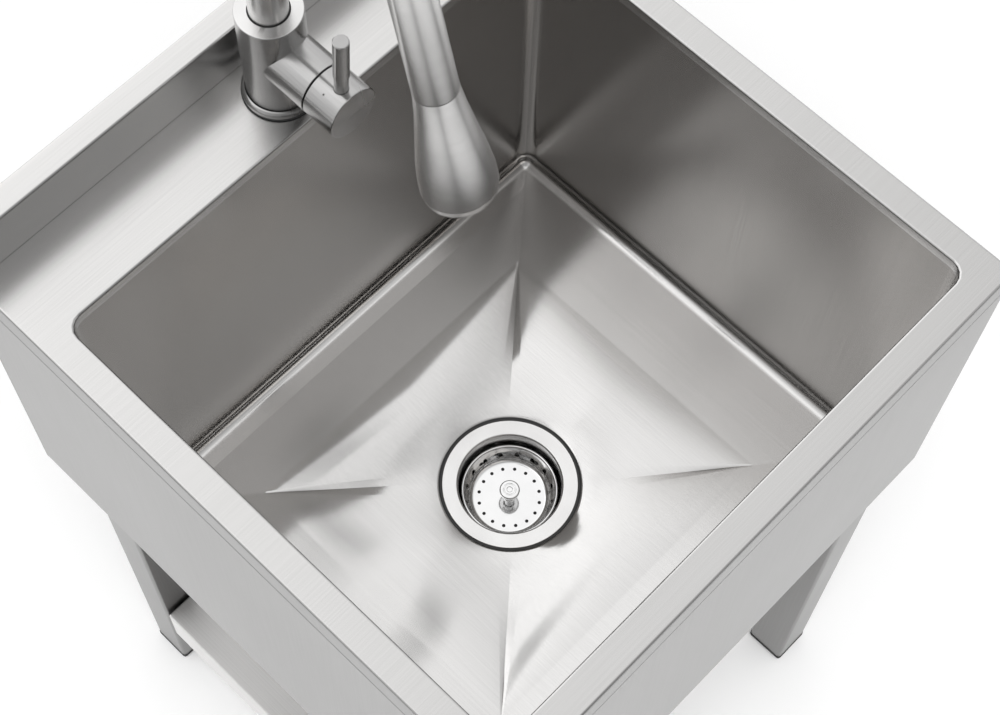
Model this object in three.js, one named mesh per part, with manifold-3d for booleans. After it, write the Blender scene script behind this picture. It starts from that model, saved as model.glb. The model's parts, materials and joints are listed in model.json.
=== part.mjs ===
// Utility laundry sink: a folded steel bowl in an apron, on four square legs with
// levelling feet, with a lower shelf, a basket strainer and a pull-down mixer tap.
// Millimetres. X runs left to right, Y front to back, Z up. The floor is Z = 0 and
// the origin lies under the middle of the sink.

import * as THREE from 'three';
import { mergeVertices } from 'three/addons/utils/BufferGeometryUtils.js';
import Module from 'manifold-3d';

const wasm = await Module();
wasm.setup();

// ---- Driving dimensions ------------------------------------------------------------

// Sheet metal and clearances
const sheet = 1.2;
const gap = 0.3;
const foldRadius = 2;

// Sink top
const sinkWidth = 508;
const sinkDepth = 521;
const rimHeight = 846;
const sideStrip = 24;
const frontStrip = 24;
const backStrip = 89;
const openingRadius = 12;
const lipDepth = 10;
const skirtDepth = 27;
const deckCornerRadius = 3;

// Backsplash
const splashHeight = 48;
const splashThickness = 21;
const splashFlange = 6;

// Bowl
const bowlDepth = 340;
const bowlFlange = 7;
const coveRadius = 12;
const creaseReachX = 152;
const creaseReachY = 137;
const creaseCorner = 2;
const fallToCrease = 3;
const fallToDrain = 9;
const panelFlatness = 2.6;
const seatRadius = 60;
const seatDepth = 3;
const seatBend = 2.5;
const drainHoleRadius = 45;

// Apron
const apronBelowBowl = 10;
const apronReturn = 10;
const apronLap = 15;
const joggleRise = 2.4;

// Legs and their sockets
const legWidth = 40;
const legWall = 1.5;
const legCorner = 3;
const legInsetSide = 17;
const legInsetFront = 11.5;
const legInsetBack = 23.5;
const socketPlate = 3;
const socketMargin = 6;
const spigotWall = 2;
const spigotLength = 50;
const screwRadius = 3;
const screwDrop = 25;
const screwHeadRadius = 5.2;
const screwHeadHeight = 3.2;

// Leg caps and levelling feet
const capFlange = 3.5;
const capOverhang = 0.6;
const capPlug = 18;
const footPadHeight = 5.7;
const footPadRadius = 16;
const footPadTaper = 1;
const footStemRadius = 4;
const footStemLength = 30;

// Lower shelf
const shelfHeight = 157;
const shelfLip = 52;
const shelfReturn = 10;
const shelfCorner = 3;
const shelfClearance = 2;
const stiffenerWidth = 60;
const stiffenerHeight = 18;
const stiffenerFlange = 14;
const boltRadius = 3;
const boltHeadRadius = 5.8;
const boltHeadHeight = 4;

// Basket strainer
const strainerFlangeRadius = 57.15;
const strainerFlangeThickness = 2.5;
const strainerEdge = 1.1;
const strainerLipDrop = 2.4;
const strainerMouthRadius = 45.5;
const strainerWallRadius = 43.6;
const strainerWall = 0.8;
const strainerStraight = 28;
const strainerConeDepth = 13;
const strainerConeRadius = 31;
const strainerNeckRadius = 19.5;
const strainerNeckWall = 4.2;
const strainerNeckLength = 16;
const spiderWidth = 4;
const spiderThickness = 2;
const gasketThickness = 3;
const gasketRadius = 54;
const locknutRadius = 51;
const locknutHeight = 10;
const locknutLugs = 8;
const locknutLugSize = 5;
const tailpieceRadius = 19.05;
const tailpieceWall = 1.2;
const tailpieceLength = 110;
const tailpieceFlange = 1.6;
const slipNutRadius = 31;
const slipNutHeight = 20;
const slipNutLip = 6;

// Basket
const basketRimRadius = 41;
const basketRimDrop = 14;
const basketRimRoll = 1.2;
const basketWallRadius = 38;
const basketPlateRadius = 29.5;
const basketDepth = 19;
const basketSheet = 0.9;
const basketHoles = 16;
const basketHoleRadius = 1.5;
const basketHoleCircle = 26;
const basketSideHoleRadius = 1.7;
const stopperRadius = 33.4;
const stopperHeight = 3.4;
const postRadius = 2.4;
const postTail = 14;
const knobRadius = 8.6;
const knobHead = 4.5;
const knobNeckRadius = 3.8;

// Tap body
const deckHoleRadius = 17.5;
const tapGasketRadius = 28.6;
const tapGasketThickness = 1.2;
const baseRingRadius = 27.8;
const baseRingHeight = 6;
const tapBodyRadius = 24.2;
const tapBodyHeight = 99;
const tapBodyEdge = 0.8;
const shankRadius = 14;
const shankWall = 2.5;
const shankDrop = 42;
const shankRise = 20;
const tapWasherRadius = 23.5;
const tapWasherThickness = 3;
const tapNutRadius = 22;
const tapNutHeight = 11;

// Mixing valve: its axis points to the front, and reaches count from the tap's axis
const valveHeight = 56;
const valveRadius = 21;
const valveHousingReach = 49.5;
const cartridgeRadius = 17.3;
const cartridgeLength = 25;
const cartridgeMouth = 12.5;
const cartridgeNutThickness = 3.7;
const cartridgeDome = 4;
const discRadius = 12;
const discThickness = 4;
const discSeat = 2.8;
const discNeckRadius = 5;
const pivotDepth = 11.8;
const stemRadius = 4.5;
const stemNeckRadius = 3.15;
const stemBallRadius = 6;
const stemBallHalf = 4.2;
const capJoint = 1.2;
const capReach = 78.5;
const capWall = 2;
const capRearWall = 0.8;
const capSolidLength = 15;
const capEdge = 0.8;
const leverReach = 66.8;
const leverLean = 3.85;
const leverTop = 138;
const leverRadius = 5.75;
const leverNeckRadius = 5.1;
const leverNeckLength = 17;
const leverRootDepth = 7;
const grubRadius = 2.4;

// Spout and spray head
const spoutRadius = 14;
const spoutEndRadius = 15.2;
const spoutWall = 1.5;
const spoutInsert = 34;
const bushWall = 0.5;
const archCentreHeight = 330;
const archRadius = 62;
const spoutLean = 12.5;
const spoutStraight = 167;
const dockLength = 12;
const headLength = 100;
const headBellRadius = 26.4;
const headBellDrop = 88;
const headBellTaper = 0.25;
const headRimRadius = 25.4;
const headSocketDepth = 16;
const headWall = 2;
const headFaceRecess = 6;
const sprayFaceThickness = 4;
const nozzleCount = 12;
const nozzleCircle = 15;
const nozzleRadius = 1.2;
const nozzleLength = 1.4;
const hoseRadius = 6.5;
const hoseWall = 2;
const hoseLength = 98;

// Facets
const fineSides = 24;
const plainSides = 16;
const smallSides = 8;
const cornerSteps = 4;
const smallCornerSteps = 2;
const bowlSideSteps = 2;

// ---- Sizes that follow from them ----------------------------------------------------

const seat = sheet + gap;
const openingWidth = sinkWidth - 2 * sideStrip;
const openingDepth = sinkDepth - frontStrip - backStrip;
const openingFront = -sinkDepth / 2 + frontStrip;
const openingY = openingFront + openingDepth / 2;
const splashFront = sinkDepth / 2 - splashThickness;
const tapY = (openingFront + openingDepth + splashFront) / 2;
const floorEdgeHeight = rimHeight - bowlDepth;
const seatHeight = floorEdgeHeight - fallToCrease - fallToDrain - seatDepth;
const strainerTop = seatHeight + gap + strainerFlangeThickness;
const apronDepth = bowlDepth + apronBelowBowl;
const socketBottom = rimHeight - apronDepth + seat;
const legTop = socketBottom - gap;
const capBottom = footPadHeight + gap;
const legBottom = capBottom + capFlange + gap;
const legX = sinkWidth / 2 - legInsetSide - legWidth / 2;
const legFrontY = -sinkDepth / 2 + legInsetFront + legWidth / 2;
const legBackY = sinkDepth / 2 - legInsetBack - legWidth / 2;
const legBore = legWidth - 2 * legWall;
const plugWidth = legBore - 2 * gap;
const valveZ = rimHeight + valveHeight;

const corners = [
  { name: 'front_left', side: -1, end: -1, y: legFrontY },
  { name: 'front_right', side: 1, end: -1, y: legFrontY },
  { name: 'back_left', side: -1, end: 1, y: legBackY },
  { name: 'back_right', side: 1, end: 1, y: legBackY },
];

// ---- Materials ----------------------------------------------------------------------

const finish = (color, roughness, metalness) => () =>
  new THREE.MeshStandardMaterial({ color, roughness, metalness });
const deckSteel = finish(0xd9d9d7, 0.35, 0.9);
const apronSteel = finish(0xb9b9b8, 0.42, 0.9);
const bowlSteel = finish(0xa9a7a4, 0.38, 0.9);
const satinSteel = finish(0xbcbab7, 0.3, 1);
const polishedSteel = finish(0xe4e4e2, 0.12, 1);
const plainSteel = finish(0x9c9c9b, 0.5, 0.9);
const blackPlastic = finish(0x161616, 0.55, 0);
const blackRubber = finish(0x202020, 0.85, 0);
const greyPlastic = finish(0x6f6f6f, 0.5, 0);
const whitePlastic = finish(0xdedcd6, 0.5, 0);

// ---- Solids -------------------------------------------------------------------------

// A closed geometry as a solid for cutting and joining.
function solid(geometry) {
  const shape = geometry.clone();
  shape.deleteAttribute('normal');
  shape.deleteAttribute('uv');
  const merged = mergeVertices(shape, 1e-4);
  return new wasm.Manifold(new wasm.Mesh({
    numProp: 3,
    vertProperties: new Float32Array(merged.attributes.position.array),
    triVerts: new Uint32Array(merged.index.array),
  }));
}

function geometryOf(body) {
  const mesh = body.getMesh();
  const geometry = new THREE.BufferGeometry();
  geometry.setAttribute('position', new THREE.BufferAttribute(mesh.vertProperties, 3));
  geometry.setIndex(new THREE.BufferAttribute(mesh.triVerts, 1));
  return geometry;
}

function cut(base, tools) {
  return geometryOf(tools.reduce((body, tool) => body.subtract(solid(tool)), solid(base)));
}

function join(parts) {
  return geometryOf(parts.slice(1).reduce((body, part) => body.add(solid(part)), solid(parts[0])));
}

// A rounded rectangle of points at one height, anticlockwise from the middle of its
// right side. Every quarter has sideSteps + steps points.
function rectRing(cx, cy, hx, hy, radius, z, sideSteps = 2, steps = smallCornerSteps) {
  const r = Math.min(Math.max(radius, gap), hx, hy);
  const half = sideSteps / 2;
  const quarter = (ax, ay) => {
    const points = [];
    for (let i = 0; i < half; i++) points.push([ax, ((ay - r) * i) / half]);
    for (let i = 0; i < steps; i++) {
      const a = (Math.PI / 2) * (i / steps);
      points.push([ax - r + r * Math.cos(a), ay - r + r * Math.sin(a)]);
    }
    for (let i = 0; i < half; i++) points.push([(ax - r) * (1 - i / half), ay]);
    return points;
  };
  const ring = [];
  for (let q = 0; q < 4; q++) {
    const turned = q % 2 === 1;
    const points = turned ? quarter(hy, hx) : quarter(hx, hy);
    const c = Math.round(Math.cos((q * Math.PI) / 2));
    const s = Math.round(Math.sin((q * Math.PI) / 2));
    for (const [x, y] of points) ring.push(new THREE.Vector3(cx + c * x - s * y, cy + s * x + c * y, z));
  }
  return ring;
}

// A circle with as many points as a rounded rectangle of the same steps.
function roundRing(cx, cy, radius, z, sideSteps = 2, steps = smallCornerSteps) {
  const count = 4 * (sideSteps + steps);
  return Array.from({ length: count }, (_, i) => {
    const a = (2 * Math.PI * i) / count;
    return new THREE.Vector3(cx + radius * Math.cos(a), cy + radius * Math.sin(a), z);
  });
}

// Skins a row of rings. The row closes on itself, or is capped at both ends.
function skin(rings, closed) {
  const count = rings[0].length;
  const points = rings.flat();
  const faces = [];
  const last = closed ? rings.length : rings.length - 1;
  for (let r = 0; r < last; r++) {
    const a = r * count;
    const b = ((r + 1) % rings.length) * count;
    for (let i = 0; i < count; i++) {
      const j = (i + 1) % count;
      faces.push(a + i, a + j, b + j, a + i, b + j, b + i);
    }
  }
  if (!closed) {
    const end = (rings.length - 1) * count;
    for (let i = 1; i < count - 1; i++) faces.push(0, i + 1, i, end, end + i, end + i + 1);
  }
  const geometry = new THREE.BufferGeometry();
  geometry.setAttribute('position', new THREE.Float32BufferAttribute(points.flatMap((p) => [p.x, p.y, p.z]), 3));
  geometry.setIndex(signedVolume(points, faces) < 0 ? flipped(faces) : faces);
  return geometry;
}

function signedVolume(points, faces) {
  let volume = 0;
  for (let i = 0; i < faces.length; i += 3) {
    const [a, b, c] = [points[faces[i]], points[faces[i + 1]], points[faces[i + 2]]];
    volume += a.dot(new THREE.Vector3().crossVectors(b, c));
  }
  return volume;
}

function flipped(faces) {
  return faces.map((_, i) => faces[i - (i % 3) + (2 - (i % 3))]);
}

// Turns a profile of [radius, height] pairs about Z.
function turned(profile, sides = plainSides) {
  const points = profile.map(([r, z]) => new THREE.Vector2(r, z));
  const closes = profile[0][0] > 0 || profile[profile.length - 1][0] > 0;
  if (closes) points.push(points[0].clone());
  const area = THREE.ShapeUtils.area(points);
  if (area < 0) points.reverse();
  return new THREE.LatheGeometry(points, sides).rotateX(Math.PI / 2);
}

function rod(radius, from, to, sides = smallSides) {
  return turned([[0, from], [radius, from], [radius, to], [0, to]], sides);
}

function tube(outer, inner, from, to, sides = plainSides) {
  return turned([[inner, from], [outer, from], [outer, to], [inner, to]], sides);
}

function block(x0, x1, y0, y1, z0, z1) {
  return new THREE.BoxGeometry(x1 - x0, y1 - y0, z1 - z0)
    .translate((x0 + x1) / 2, (y0 + y1) / 2, (z0 + z1) / 2);
}

// Extrudes a section drawn in Y and Z along X, centred on X = 0.
function alongX(section, length) {
  const shape = new THREE.Shape(section.map(([y, z]) => new THREE.Vector2(y, z)));
  const basis = new THREE.Matrix4().makeBasis(
    new THREE.Vector3(0, 1, 0), new THREE.Vector3(0, 0, 1), new THREE.Vector3(1, 0, 0));
  return new THREE.ExtrudeGeometry(shape, { depth: length, bevelEnabled: false })
    .applyMatrix4(basis)
    .translate(-length / 2, 0, 0);
}

function hexPrism(radius, from, to) {
  return rod(radius, from, to, 6);
}

const quarterTurn = (steps) => Array.from({ length: steps + 1 }, (_, i) => (Math.PI / 2) * (i / steps));

// ---- Scene graph --------------------------------------------------------------------

const group = new THREE.Group();

function place(name, geometry, material, parent = group) {
  const mesh = new THREE.Mesh(geometry, material());
  mesh.name = name;
  parent.add(mesh);
  return mesh;
}

// ---- Sink top -----------------------------------------------------------------------

const outerRing = (inset, z) => rectRing(
  0, 0, sinkWidth / 2 - inset, sinkDepth / 2 - inset, deckCornerRadius - inset, z, 2, cornerSteps);
const openingRing = (grow, z) => rectRing(
  0, openingY, openingWidth / 2 + grow, openingDepth / 2 + grow, openingRadius + grow, z, 2, cornerSteps);

// The deck is one folded sheet: a lip into the bowl, the flat rim and a skirt all round.
function deckGeometry() {
  const fold = quarterTurn(2);
  const rings = [openingRing(0, rimHeight - lipDepth)];
  for (const a of fold) {
    rings.push(openingRing(foldRadius * (1 - Math.cos(a)), rimHeight - foldRadius * (1 - Math.sin(a))));
  }
  for (const a of [...fold].reverse()) {
    rings.push(outerRing(foldRadius * (1 - Math.cos(a)), rimHeight - foldRadius * (1 - Math.sin(a))));
  }
  rings.push(outerRing(0, rimHeight - skirtDepth), outerRing(sheet, rimHeight - skirtDepth));
  rings.push(outerRing(sheet, rimHeight - sheet));
  rings.push(openingRing(sheet, rimHeight - sheet), openingRing(sheet, rimHeight - lipDepth));
  const tapHole = rod(deckHoleRadius, rimHeight - skirtDepth, rimHeight + skirtDepth, plainSides)
    .translate(0, tapY, 0);
  return cut(skin(rings, true), [tapHole]);
}

// A folded tray upside down: flat top, four sides and a narrow return along their edge.
function trayRings(hx, hy, radius, top, depth, back) {
  const ring = (inset, z) => rectRing(0, 0, hx - inset, hy - inset, radius - inset, z);
  const fold = quarterTurn(2).reverse();
  const bottom = top - depth;
  return [
    ...fold.map((a) => ring(foldRadius * (1 - Math.cos(a)), top - foldRadius * (1 - Math.sin(a)))),
    ring(0, bottom),
    ring(back, bottom),
    ring(back, bottom + sheet),
    ring(sheet, bottom + sheet),
    ring(sheet, top - sheet),
  ];
}

function backsplashGeometry() {
  return skin(trayRings(sinkWidth / 2, splashThickness / 2, deckCornerRadius, splashHeight,
    splashHeight - gap, splashFlange), false);
}

// ---- Bowl ---------------------------------------------------------------------------

const bowlRing = (grow, z) => rectRing(0, 0, openingWidth / 2 + seat + grow, openingDepth / 2 + seat + grow,
  openingRadius + seat + grow, z, bowlSideSteps, cornerSteps);
const panelShares = [0.4, 0.75];
const drainRing = (radius, z) => roundRing(0, 0, radius, z, bowlSideSteps, cornerSteps);

// A ring part of the way from the inner rectangle to the drain. The diagonal creases fall
// evenly and are valleys, and the panels between them stay flatter until near the drain.
function panelRing(share, offset) {
  const top = floorEdgeHeight - fallToCrease - offset;
  const outer = rectRing(0, 0, creaseReachX, creaseReachY, creaseCorner, top, bowlSideSteps, cornerSteps);
  const inner = drainRing(seatRadius + seatBend, top);
  const half = outer.length / 8;
  return outer.map((point, i) => {
    const fromCrease = Math.abs((i % (2 * half)) - half) / half;
    const mixed = point.clone().lerp(inner[i], share);
    mixed.z = top - fallToDrain * share ** (1 + (panelFlatness - 1) * fromCrease);
    return mixed;
  });
}

// One face of the bowl's sheet, from its top flange to the drain hole. The floor falls in
// two stages, and its diagonal creases start at the corners of the inner rectangle.
function bowlFace(offset) {
  const top = rimHeight - seat - offset;
  const edge = floorEdgeHeight;
  const bend = foldRadius + sheet - offset;
  const cove = coveRadius + offset;
  const coveCentre = edge + coveRadius;
  return [
    bowlRing(bowlFlange, top),
    ...quarterTurn(2).reverse().map((a) => bowlRing(offset + bend * (1 - Math.cos(a)), top - bend * (1 - Math.sin(a)))),
    ...quarterTurn(3).map((a) => bowlRing(cove * Math.cos(a) - coveRadius, coveCentre - cove * Math.sin(a))),
    rectRing(0, 0, creaseReachX, creaseReachY, creaseCorner, edge - fallToCrease - offset,
      bowlSideSteps, cornerSteps),
    ...panelShares.map((share) => panelRing(share, offset)),
    drainRing(seatRadius + seatBend, seatHeight + seatDepth - offset),
    drainRing(seatRadius, seatHeight - offset),
    drainRing(drainHoleRadius, seatHeight - offset),
  ];
}

function bowlGeometry() {
  return skin([...bowlFace(0), ...bowlFace(sheet).reverse()], true);
}

// ---- Apron --------------------------------------------------------------------------

// A panel hangs with its outer face on Y = 0 and its top lapped behind the deck's skirt.
// The lap and the return flange are notched at both ends to clear the panels beside it.
function apronGeometry(length, lapNotch, returnNotch) {
  const lapTop = apronLap - skirtDepth;
  const shoulder = -skirtDepth - gap;
  const bend = quarterTurn(3);
  const section = [
    [apronReturn, -apronDepth],
    [apronReturn, sheet - apronDepth],
    [sheet, sheet - apronDepth],
    [sheet, shoulder - joggleRise],
    [seat + sheet, shoulder],
    [seat + sheet, lapTop],
    [seat, lapTop],
    [seat, shoulder],
    [0, shoulder - joggleRise],
    ...bend.map((a) => [foldRadius * (1 - Math.cos(a)), foldRadius * (1 - Math.sin(a)) - apronDepth]),
  ];
  const notches = [];
  for (const side of [-1, 1]) {
    const end = (side * length) / 2;
    const span = (notch) => [Math.min(end + side, end - side * notch), Math.max(end + side, end - side * notch)];
    notches.push(block(...span(lapNotch), -sheet, skirtDepth, shoulder - joggleRise, skirtDepth));
    notches.push(block(...span(returnNotch), sheet, skirtDepth, -apronDepth - sheet, sheet + gap - apronDepth));
  }
  return cut(alongX(section, length), notches);
}

function addAprons() {
  const faces = new THREE.Group();
  faces.position.z = rimHeight;
  group.add(faces);
  const wide = () => apronGeometry(sinkWidth, 2 * seat, seat);
  const deep = () => apronGeometry(sinkDepth - 2 * seat, seat, apronReturn - sheet);
  const panels = [
    ['apron_front', wide, 0, sinkDepth / 2],
    ['apron_right', deep, Math.PI / 2, sinkWidth / 2],
    ['apron_back', wide, Math.PI, sinkDepth / 2],
    ['apron_left', deep, -Math.PI / 2, sinkWidth / 2],
  ];
  for (const [name, shape, turn, reach] of panels) {
    const panel = place(name, shape(), apronSteel, faces);
    panel.rotation.z = turn;
    panel.position.set(reach * Math.sin(turn), -reach * Math.cos(turn), 0);
  }
}

// ---- Legs ---------------------------------------------------------------------------

const squareRing = (width, radius, z) => rectRing(0, 0, width / 2, width / 2, radius, z);

function squareTube(width, wall, radius, from, to) {
  return skin([
    squareRing(width, radius, from),
    squareRing(width, radius, to),
    squareRing(width - 2 * wall, radius - wall, to),
    squareRing(width - 2 * wall, radius - wall, from),
  ], true);
}

const screwHeight = socketBottom - screwDrop;
const boltHeight = shelfHeight - shelfLip / 2;

// The screw enters the leg from the sink's middle, and the bolt from the shelf.
function screwHole(side) {
  return rod(screwRadius + gap, 0, legWidth).rotateY((-side * Math.PI) / 2).translate(0, 0, screwHeight);
}

function boltHole(end) {
  return rod(boltRadius + gap, 0, legWidth).rotateX((end * Math.PI) / 2).translate(0, 0, boltHeight);
}

function legGeometry(corner) {
  return cut(squareTube(legWidth, legWall, legCorner, legBottom, legTop),
    [screwHole(corner.side), boltHole(corner.end)]);
}

// A plate over the apron's return flanges with a square spigot that fills the leg's bore.
function socketGeometry(corner) {
  const inner = legWidth / 2 + socketMargin;
  const outX = legInsetSide - seat + legWidth / 2;
  const insetY = corner.end < 0 ? legInsetFront : legInsetBack;
  const outY = insetY - seat + legWidth / 2;
  const xs = corner.side < 0 ? [-outX, inner] : [-inner, outX];
  const ys = corner.end < 0 ? [-outY, inner] : [-inner, outY];
  const plate = block(...xs, ...ys, socketBottom, socketBottom + socketPlate);
  const spigot = squareTube(plugWidth, spigotWall, legCorner - legWall, socketBottom - spigotLength,
    socketBottom + sheet);
  const joined = join([plate, spigot]);
  return cut(joined, [screwHole(corner.side)]);
}

function capGeometry() {
  const wide = legWidth + 2 * capOverhang;
  const bore = (z) => roundRing(0, 0, footStemRadius + gap, z);
  const plugTop = legBottom + capPlug;
  return skin([
    bore(capBottom),
    squareRing(wide - 2 * capOverhang, legCorner, capBottom),
    squareRing(wide, legCorner, capBottom + capOverhang),
    squareRing(wide, legCorner, capBottom + capFlange),
    squareRing(plugWidth, legCorner - legWall, capBottom + capFlange),
    squareRing(plugWidth, legCorner - legWall, plugTop),
    bore(plugTop),
  ], true);
}

function footGeometry() {
  const stemTop = footPadHeight + footStemLength;
  return turned([
    [0, 0],
    [footPadRadius, 0],
    [footPadRadius - footPadTaper, footPadHeight],
    [footStemRadius, footPadHeight],
    [footStemRadius, stemTop],
    [0, stemTop],
  ], smallSides * 2);
}

// A button-head screw through the leg's inner wall into its spigot.
function legScrewGeometry(side) {
  const reach = legWall + gap + spigotWall + screwRadius;
  return turned([
    [0, -reach],
    [screwRadius, -reach],
    [screwRadius, gap],
    [screwHeadRadius, gap],
    [screwHeadRadius - screwHeadHeight / 3, screwHeadHeight],
    [0, screwHeadHeight],
  ], smallSides).rotateY((-side * Math.PI) / 2);
}

// A hex bolt from inside the shelf's lip into the leg.
function shelfBoltGeometry(end) {
  const reach = seat + shelfClearance + legWall + boltRadius;
  const bolt = join([rod(boltRadius, -reach, gap, 8), hexPrism(boltHeadRadius, 0, boltHeadHeight)]);
  return bolt.rotateX((end * Math.PI) / 2);
}

function addLegs() {
  for (const corner of corners) {
    const stand = new THREE.Group();
    stand.position.set(corner.side * legX, corner.y, 0);
    group.add(stand);
    place(`leg_${corner.name}`, legGeometry(corner), apronSteel, stand);
    place(`leg_socket_${corner.name}`, socketGeometry(corner), plainSteel, stand);
    place(`leg_cap_${corner.name}`, capGeometry(), blackPlastic, stand);
    place(`levelling_foot_${corner.name}`, footGeometry(), blackPlastic, stand);
    place(`leg_screw_${corner.name}`, legScrewGeometry(corner.side), plainSteel, stand)
      .position.set((-corner.side * legWidth) / 2, 0, screwHeight);
    place(`shelf_bolt_${corner.name}`, shelfBoltGeometry(corner.end), plainSteel, stand)
      .position.set(0, -corner.end * (legWidth / 2 + shelfClearance + seat), boltHeight);
  }
}

// ---- Lower shelf --------------------------------------------------------------------

const shelfFront = legFrontY + legWidth / 2 + shelfClearance;
const shelfBack = legBackY - legWidth / 2 - shelfClearance;
const shelfHalfX = sinkWidth / 2 - legInsetSide;
const shelfHalfY = (shelfBack - shelfFront) / 2;
const shelfY = (shelfBack + shelfFront) / 2;

function shelfGeometry() {
  const tray = skin(trayRings(shelfHalfX, shelfHalfY, shelfCorner, shelfHeight, shelfLip, shelfReturn), false);
  const holes = [];
  for (const corner of corners) {
    const hole = rod(boltRadius + gap, -2 * sheet, 2 * sheet).rotateX(Math.PI / 2);
    holes.push(hole.translate(corner.side * legX, corner.end * shelfHalfY, boltHeight));
  }
  return cut(tray, holes);
}

// A top-hat rail under the shelf, from lip to lip.
function stiffenerGeometry() {
  const top = -gap;
  const bottom = -stiffenerHeight;
  const foot = stiffenerWidth / 2;
  const crown = foot - stiffenerFlange;
  const section = [
    [-foot, top], [-foot, top - sheet], [-crown - sheet, top - sheet], [-crown - sheet, bottom],
    [crown + sheet, bottom], [crown + sheet, top - sheet], [foot, top - sheet], [foot, top],
    [crown, top], [crown, bottom + sheet], [-crown, bottom + sheet], [-crown, top],
  ];
  return alongX(section, 2 * (shelfHalfX - seat));
}

function addShelf() {
  place('lower_shelf', shelfGeometry(), apronSteel).position.y = shelfY;
  place('shelf_stiffener', stiffenerGeometry(), plainSteel).position.set(0, shelfY, shelfHeight - sheet);
}

// ---- Basket strainer: heights count from the top of its flange ------------------------

const strainerConeTop = -strainerStraight;
const strainerConeBottom = strainerConeTop - strainerConeDepth;
const strainerNeckTop = strainerConeBottom - (strainerConeRadius - strainerNeckRadius) / 3;
const strainerBottom = strainerNeckTop - strainerNeckLength;
const strainerOuterRadius = strainerWallRadius + strainerWall;
const floorUnderside = -strainerFlangeThickness - gap - sheet;

function strainerGeometry() {
  const neckOuter = strainerNeckRadius + strainerNeckWall;
  const body = turned([
    [strainerFlangeRadius, -strainerFlangeThickness],
    [strainerFlangeRadius, -strainerEdge],
    [strainerFlangeRadius - strainerEdge, 0],
    [strainerMouthRadius + 2 * strainerEdge, -strainerEdge / 2],
    [strainerMouthRadius, -strainerEdge],
    [strainerWallRadius, -strainerLipDrop],
    [strainerWallRadius - strainerWall, strainerConeTop],
    [strainerConeRadius, strainerConeBottom],
    [strainerNeckRadius, strainerNeckTop],
    [strainerNeckRadius, strainerBottom],
    [neckOuter, strainerBottom],
    [neckOuter, strainerNeckTop - strainerWall],
    [strainerConeRadius + strainerWall, strainerConeBottom - strainerWall],
    [strainerOuterRadius, strainerConeTop - strainerWall],
    [strainerOuterRadius, -strainerFlangeThickness],
  ], fineSides);
  const reach = strainerNeckRadius + strainerNeckWall / 2;
  const low = strainerNeckTop - 2 * spiderThickness;
  const high = low + spiderThickness;
  const half = spiderWidth / 2;
  const spider = join([
    block(-reach, reach, -half, half, low, high),
    block(-half, half, -reach, reach, low, high),
    rod(postRadius + spiderWidth / 2, low, high),
  ]);
  return cut(join([body, spider]), [rod(postRadius + gap, low - half, high + half)]);
}

function locknutGeometry(top) {
  const bottom = top - locknutHeight;
  const inner = strainerOuterRadius + gap;
  const lugs = Array.from({ length: locknutLugs }, (_, i) =>
    block(locknutRadius - locknutLugSize, locknutRadius + locknutLugSize, -locknutLugSize / 2,
      locknutLugSize / 2, bottom, top).rotateZ((2 * Math.PI * i) / locknutLugs));
  return cut(join([rod(locknutRadius, bottom, top, fineSides), ...lugs]),
    [rod(inner, bottom - sheet, top + sheet, fineSides)]);
}

function tailpieceGeometry(top) {
  const flange = strainerNeckRadius + strainerNeckWall;
  const inner = tailpieceRadius - tailpieceWall;
  return turned([
    [inner, top],
    [flange, top],
    [flange, top - tailpieceFlange],
    [tailpieceRadius, top - tailpieceFlange],
    [tailpieceRadius, top - tailpieceLength],
    [inner, top - tailpieceLength],
  ]);
}

function slipNutGeometry() {
  const bottom = strainerBottom - gap - tailpieceFlange - gap - slipNutLip;
  const top = bottom + slipNutHeight;
  const threadRadius = strainerNeckRadius + strainerNeckWall + gap;
  const bore = turned([
    [0, bottom - sheet],
    [tailpieceRadius + gap, bottom - sheet],
    [tailpieceRadius + gap, bottom + slipNutLip],
    [threadRadius, bottom + slipNutLip],
    [threadRadius, top + sheet],
    [0, top + sheet],
  ], fineSides);
  return cut(rod(slipNutRadius, bottom, top), [bore]);
}

// The basket is one pressed cup with a ring of holes in its plate and one in its side.
function basketGeometry() {
  const plate = -basketRimDrop - basketDepth;
  const shoulder = (basketWallRadius + basketPlateRadius) / 2;
  const face = (t) => [
    [basketWallRadius + t, -basketRimDrop - basketRimRoll],
    [basketWallRadius - basketRimRoll + t, plate + basketDepth / 2],
    [shoulder + t, plate + basketDepth / 6 - t / 2],
    [basketPlateRadius, plate - t],
  ];
  const rim = [
    [basketRimRadius, -basketRimDrop - 2 * basketRimRoll],
    [basketRimRadius, -basketRimDrop - basketRimRoll / 2],
    [basketRimRadius - basketRimRoll / 2, -basketRimDrop],
    [basketRimRadius - basketRimRoll, -basketRimDrop],
  ];
  const bore = postRadius + gap;
  const cup = turned([
    ...rim,
    ...face(0),
    [bore, plate],
    [bore, plate - basketSheet],
    ...face(basketSheet).reverse(),
  ], fineSides);
  const tools = [];
  const sideRadius = (basketWallRadius + shoulder) / 2;
  for (let i = 0; i < basketHoles; i++) {
    const a = (2 * Math.PI * (i + 0.5)) / basketHoles;
    tools.push(rod(basketHoleRadius, plate - basketSheet * 2, plate + basketSheet, 5)
      .translate(basketHoleCircle * Math.cos(a), basketHoleCircle * Math.sin(a), 0));
    tools.push(rod(basketSideHoleRadius, -4 * basketSheet, 4 * basketSheet, 4).rotateY(Math.PI / 3)
      .translate(sideRadius, 0, plate + basketDepth / 3).rotateZ(a));
  }
  return cut(cup, tools);
}

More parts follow.
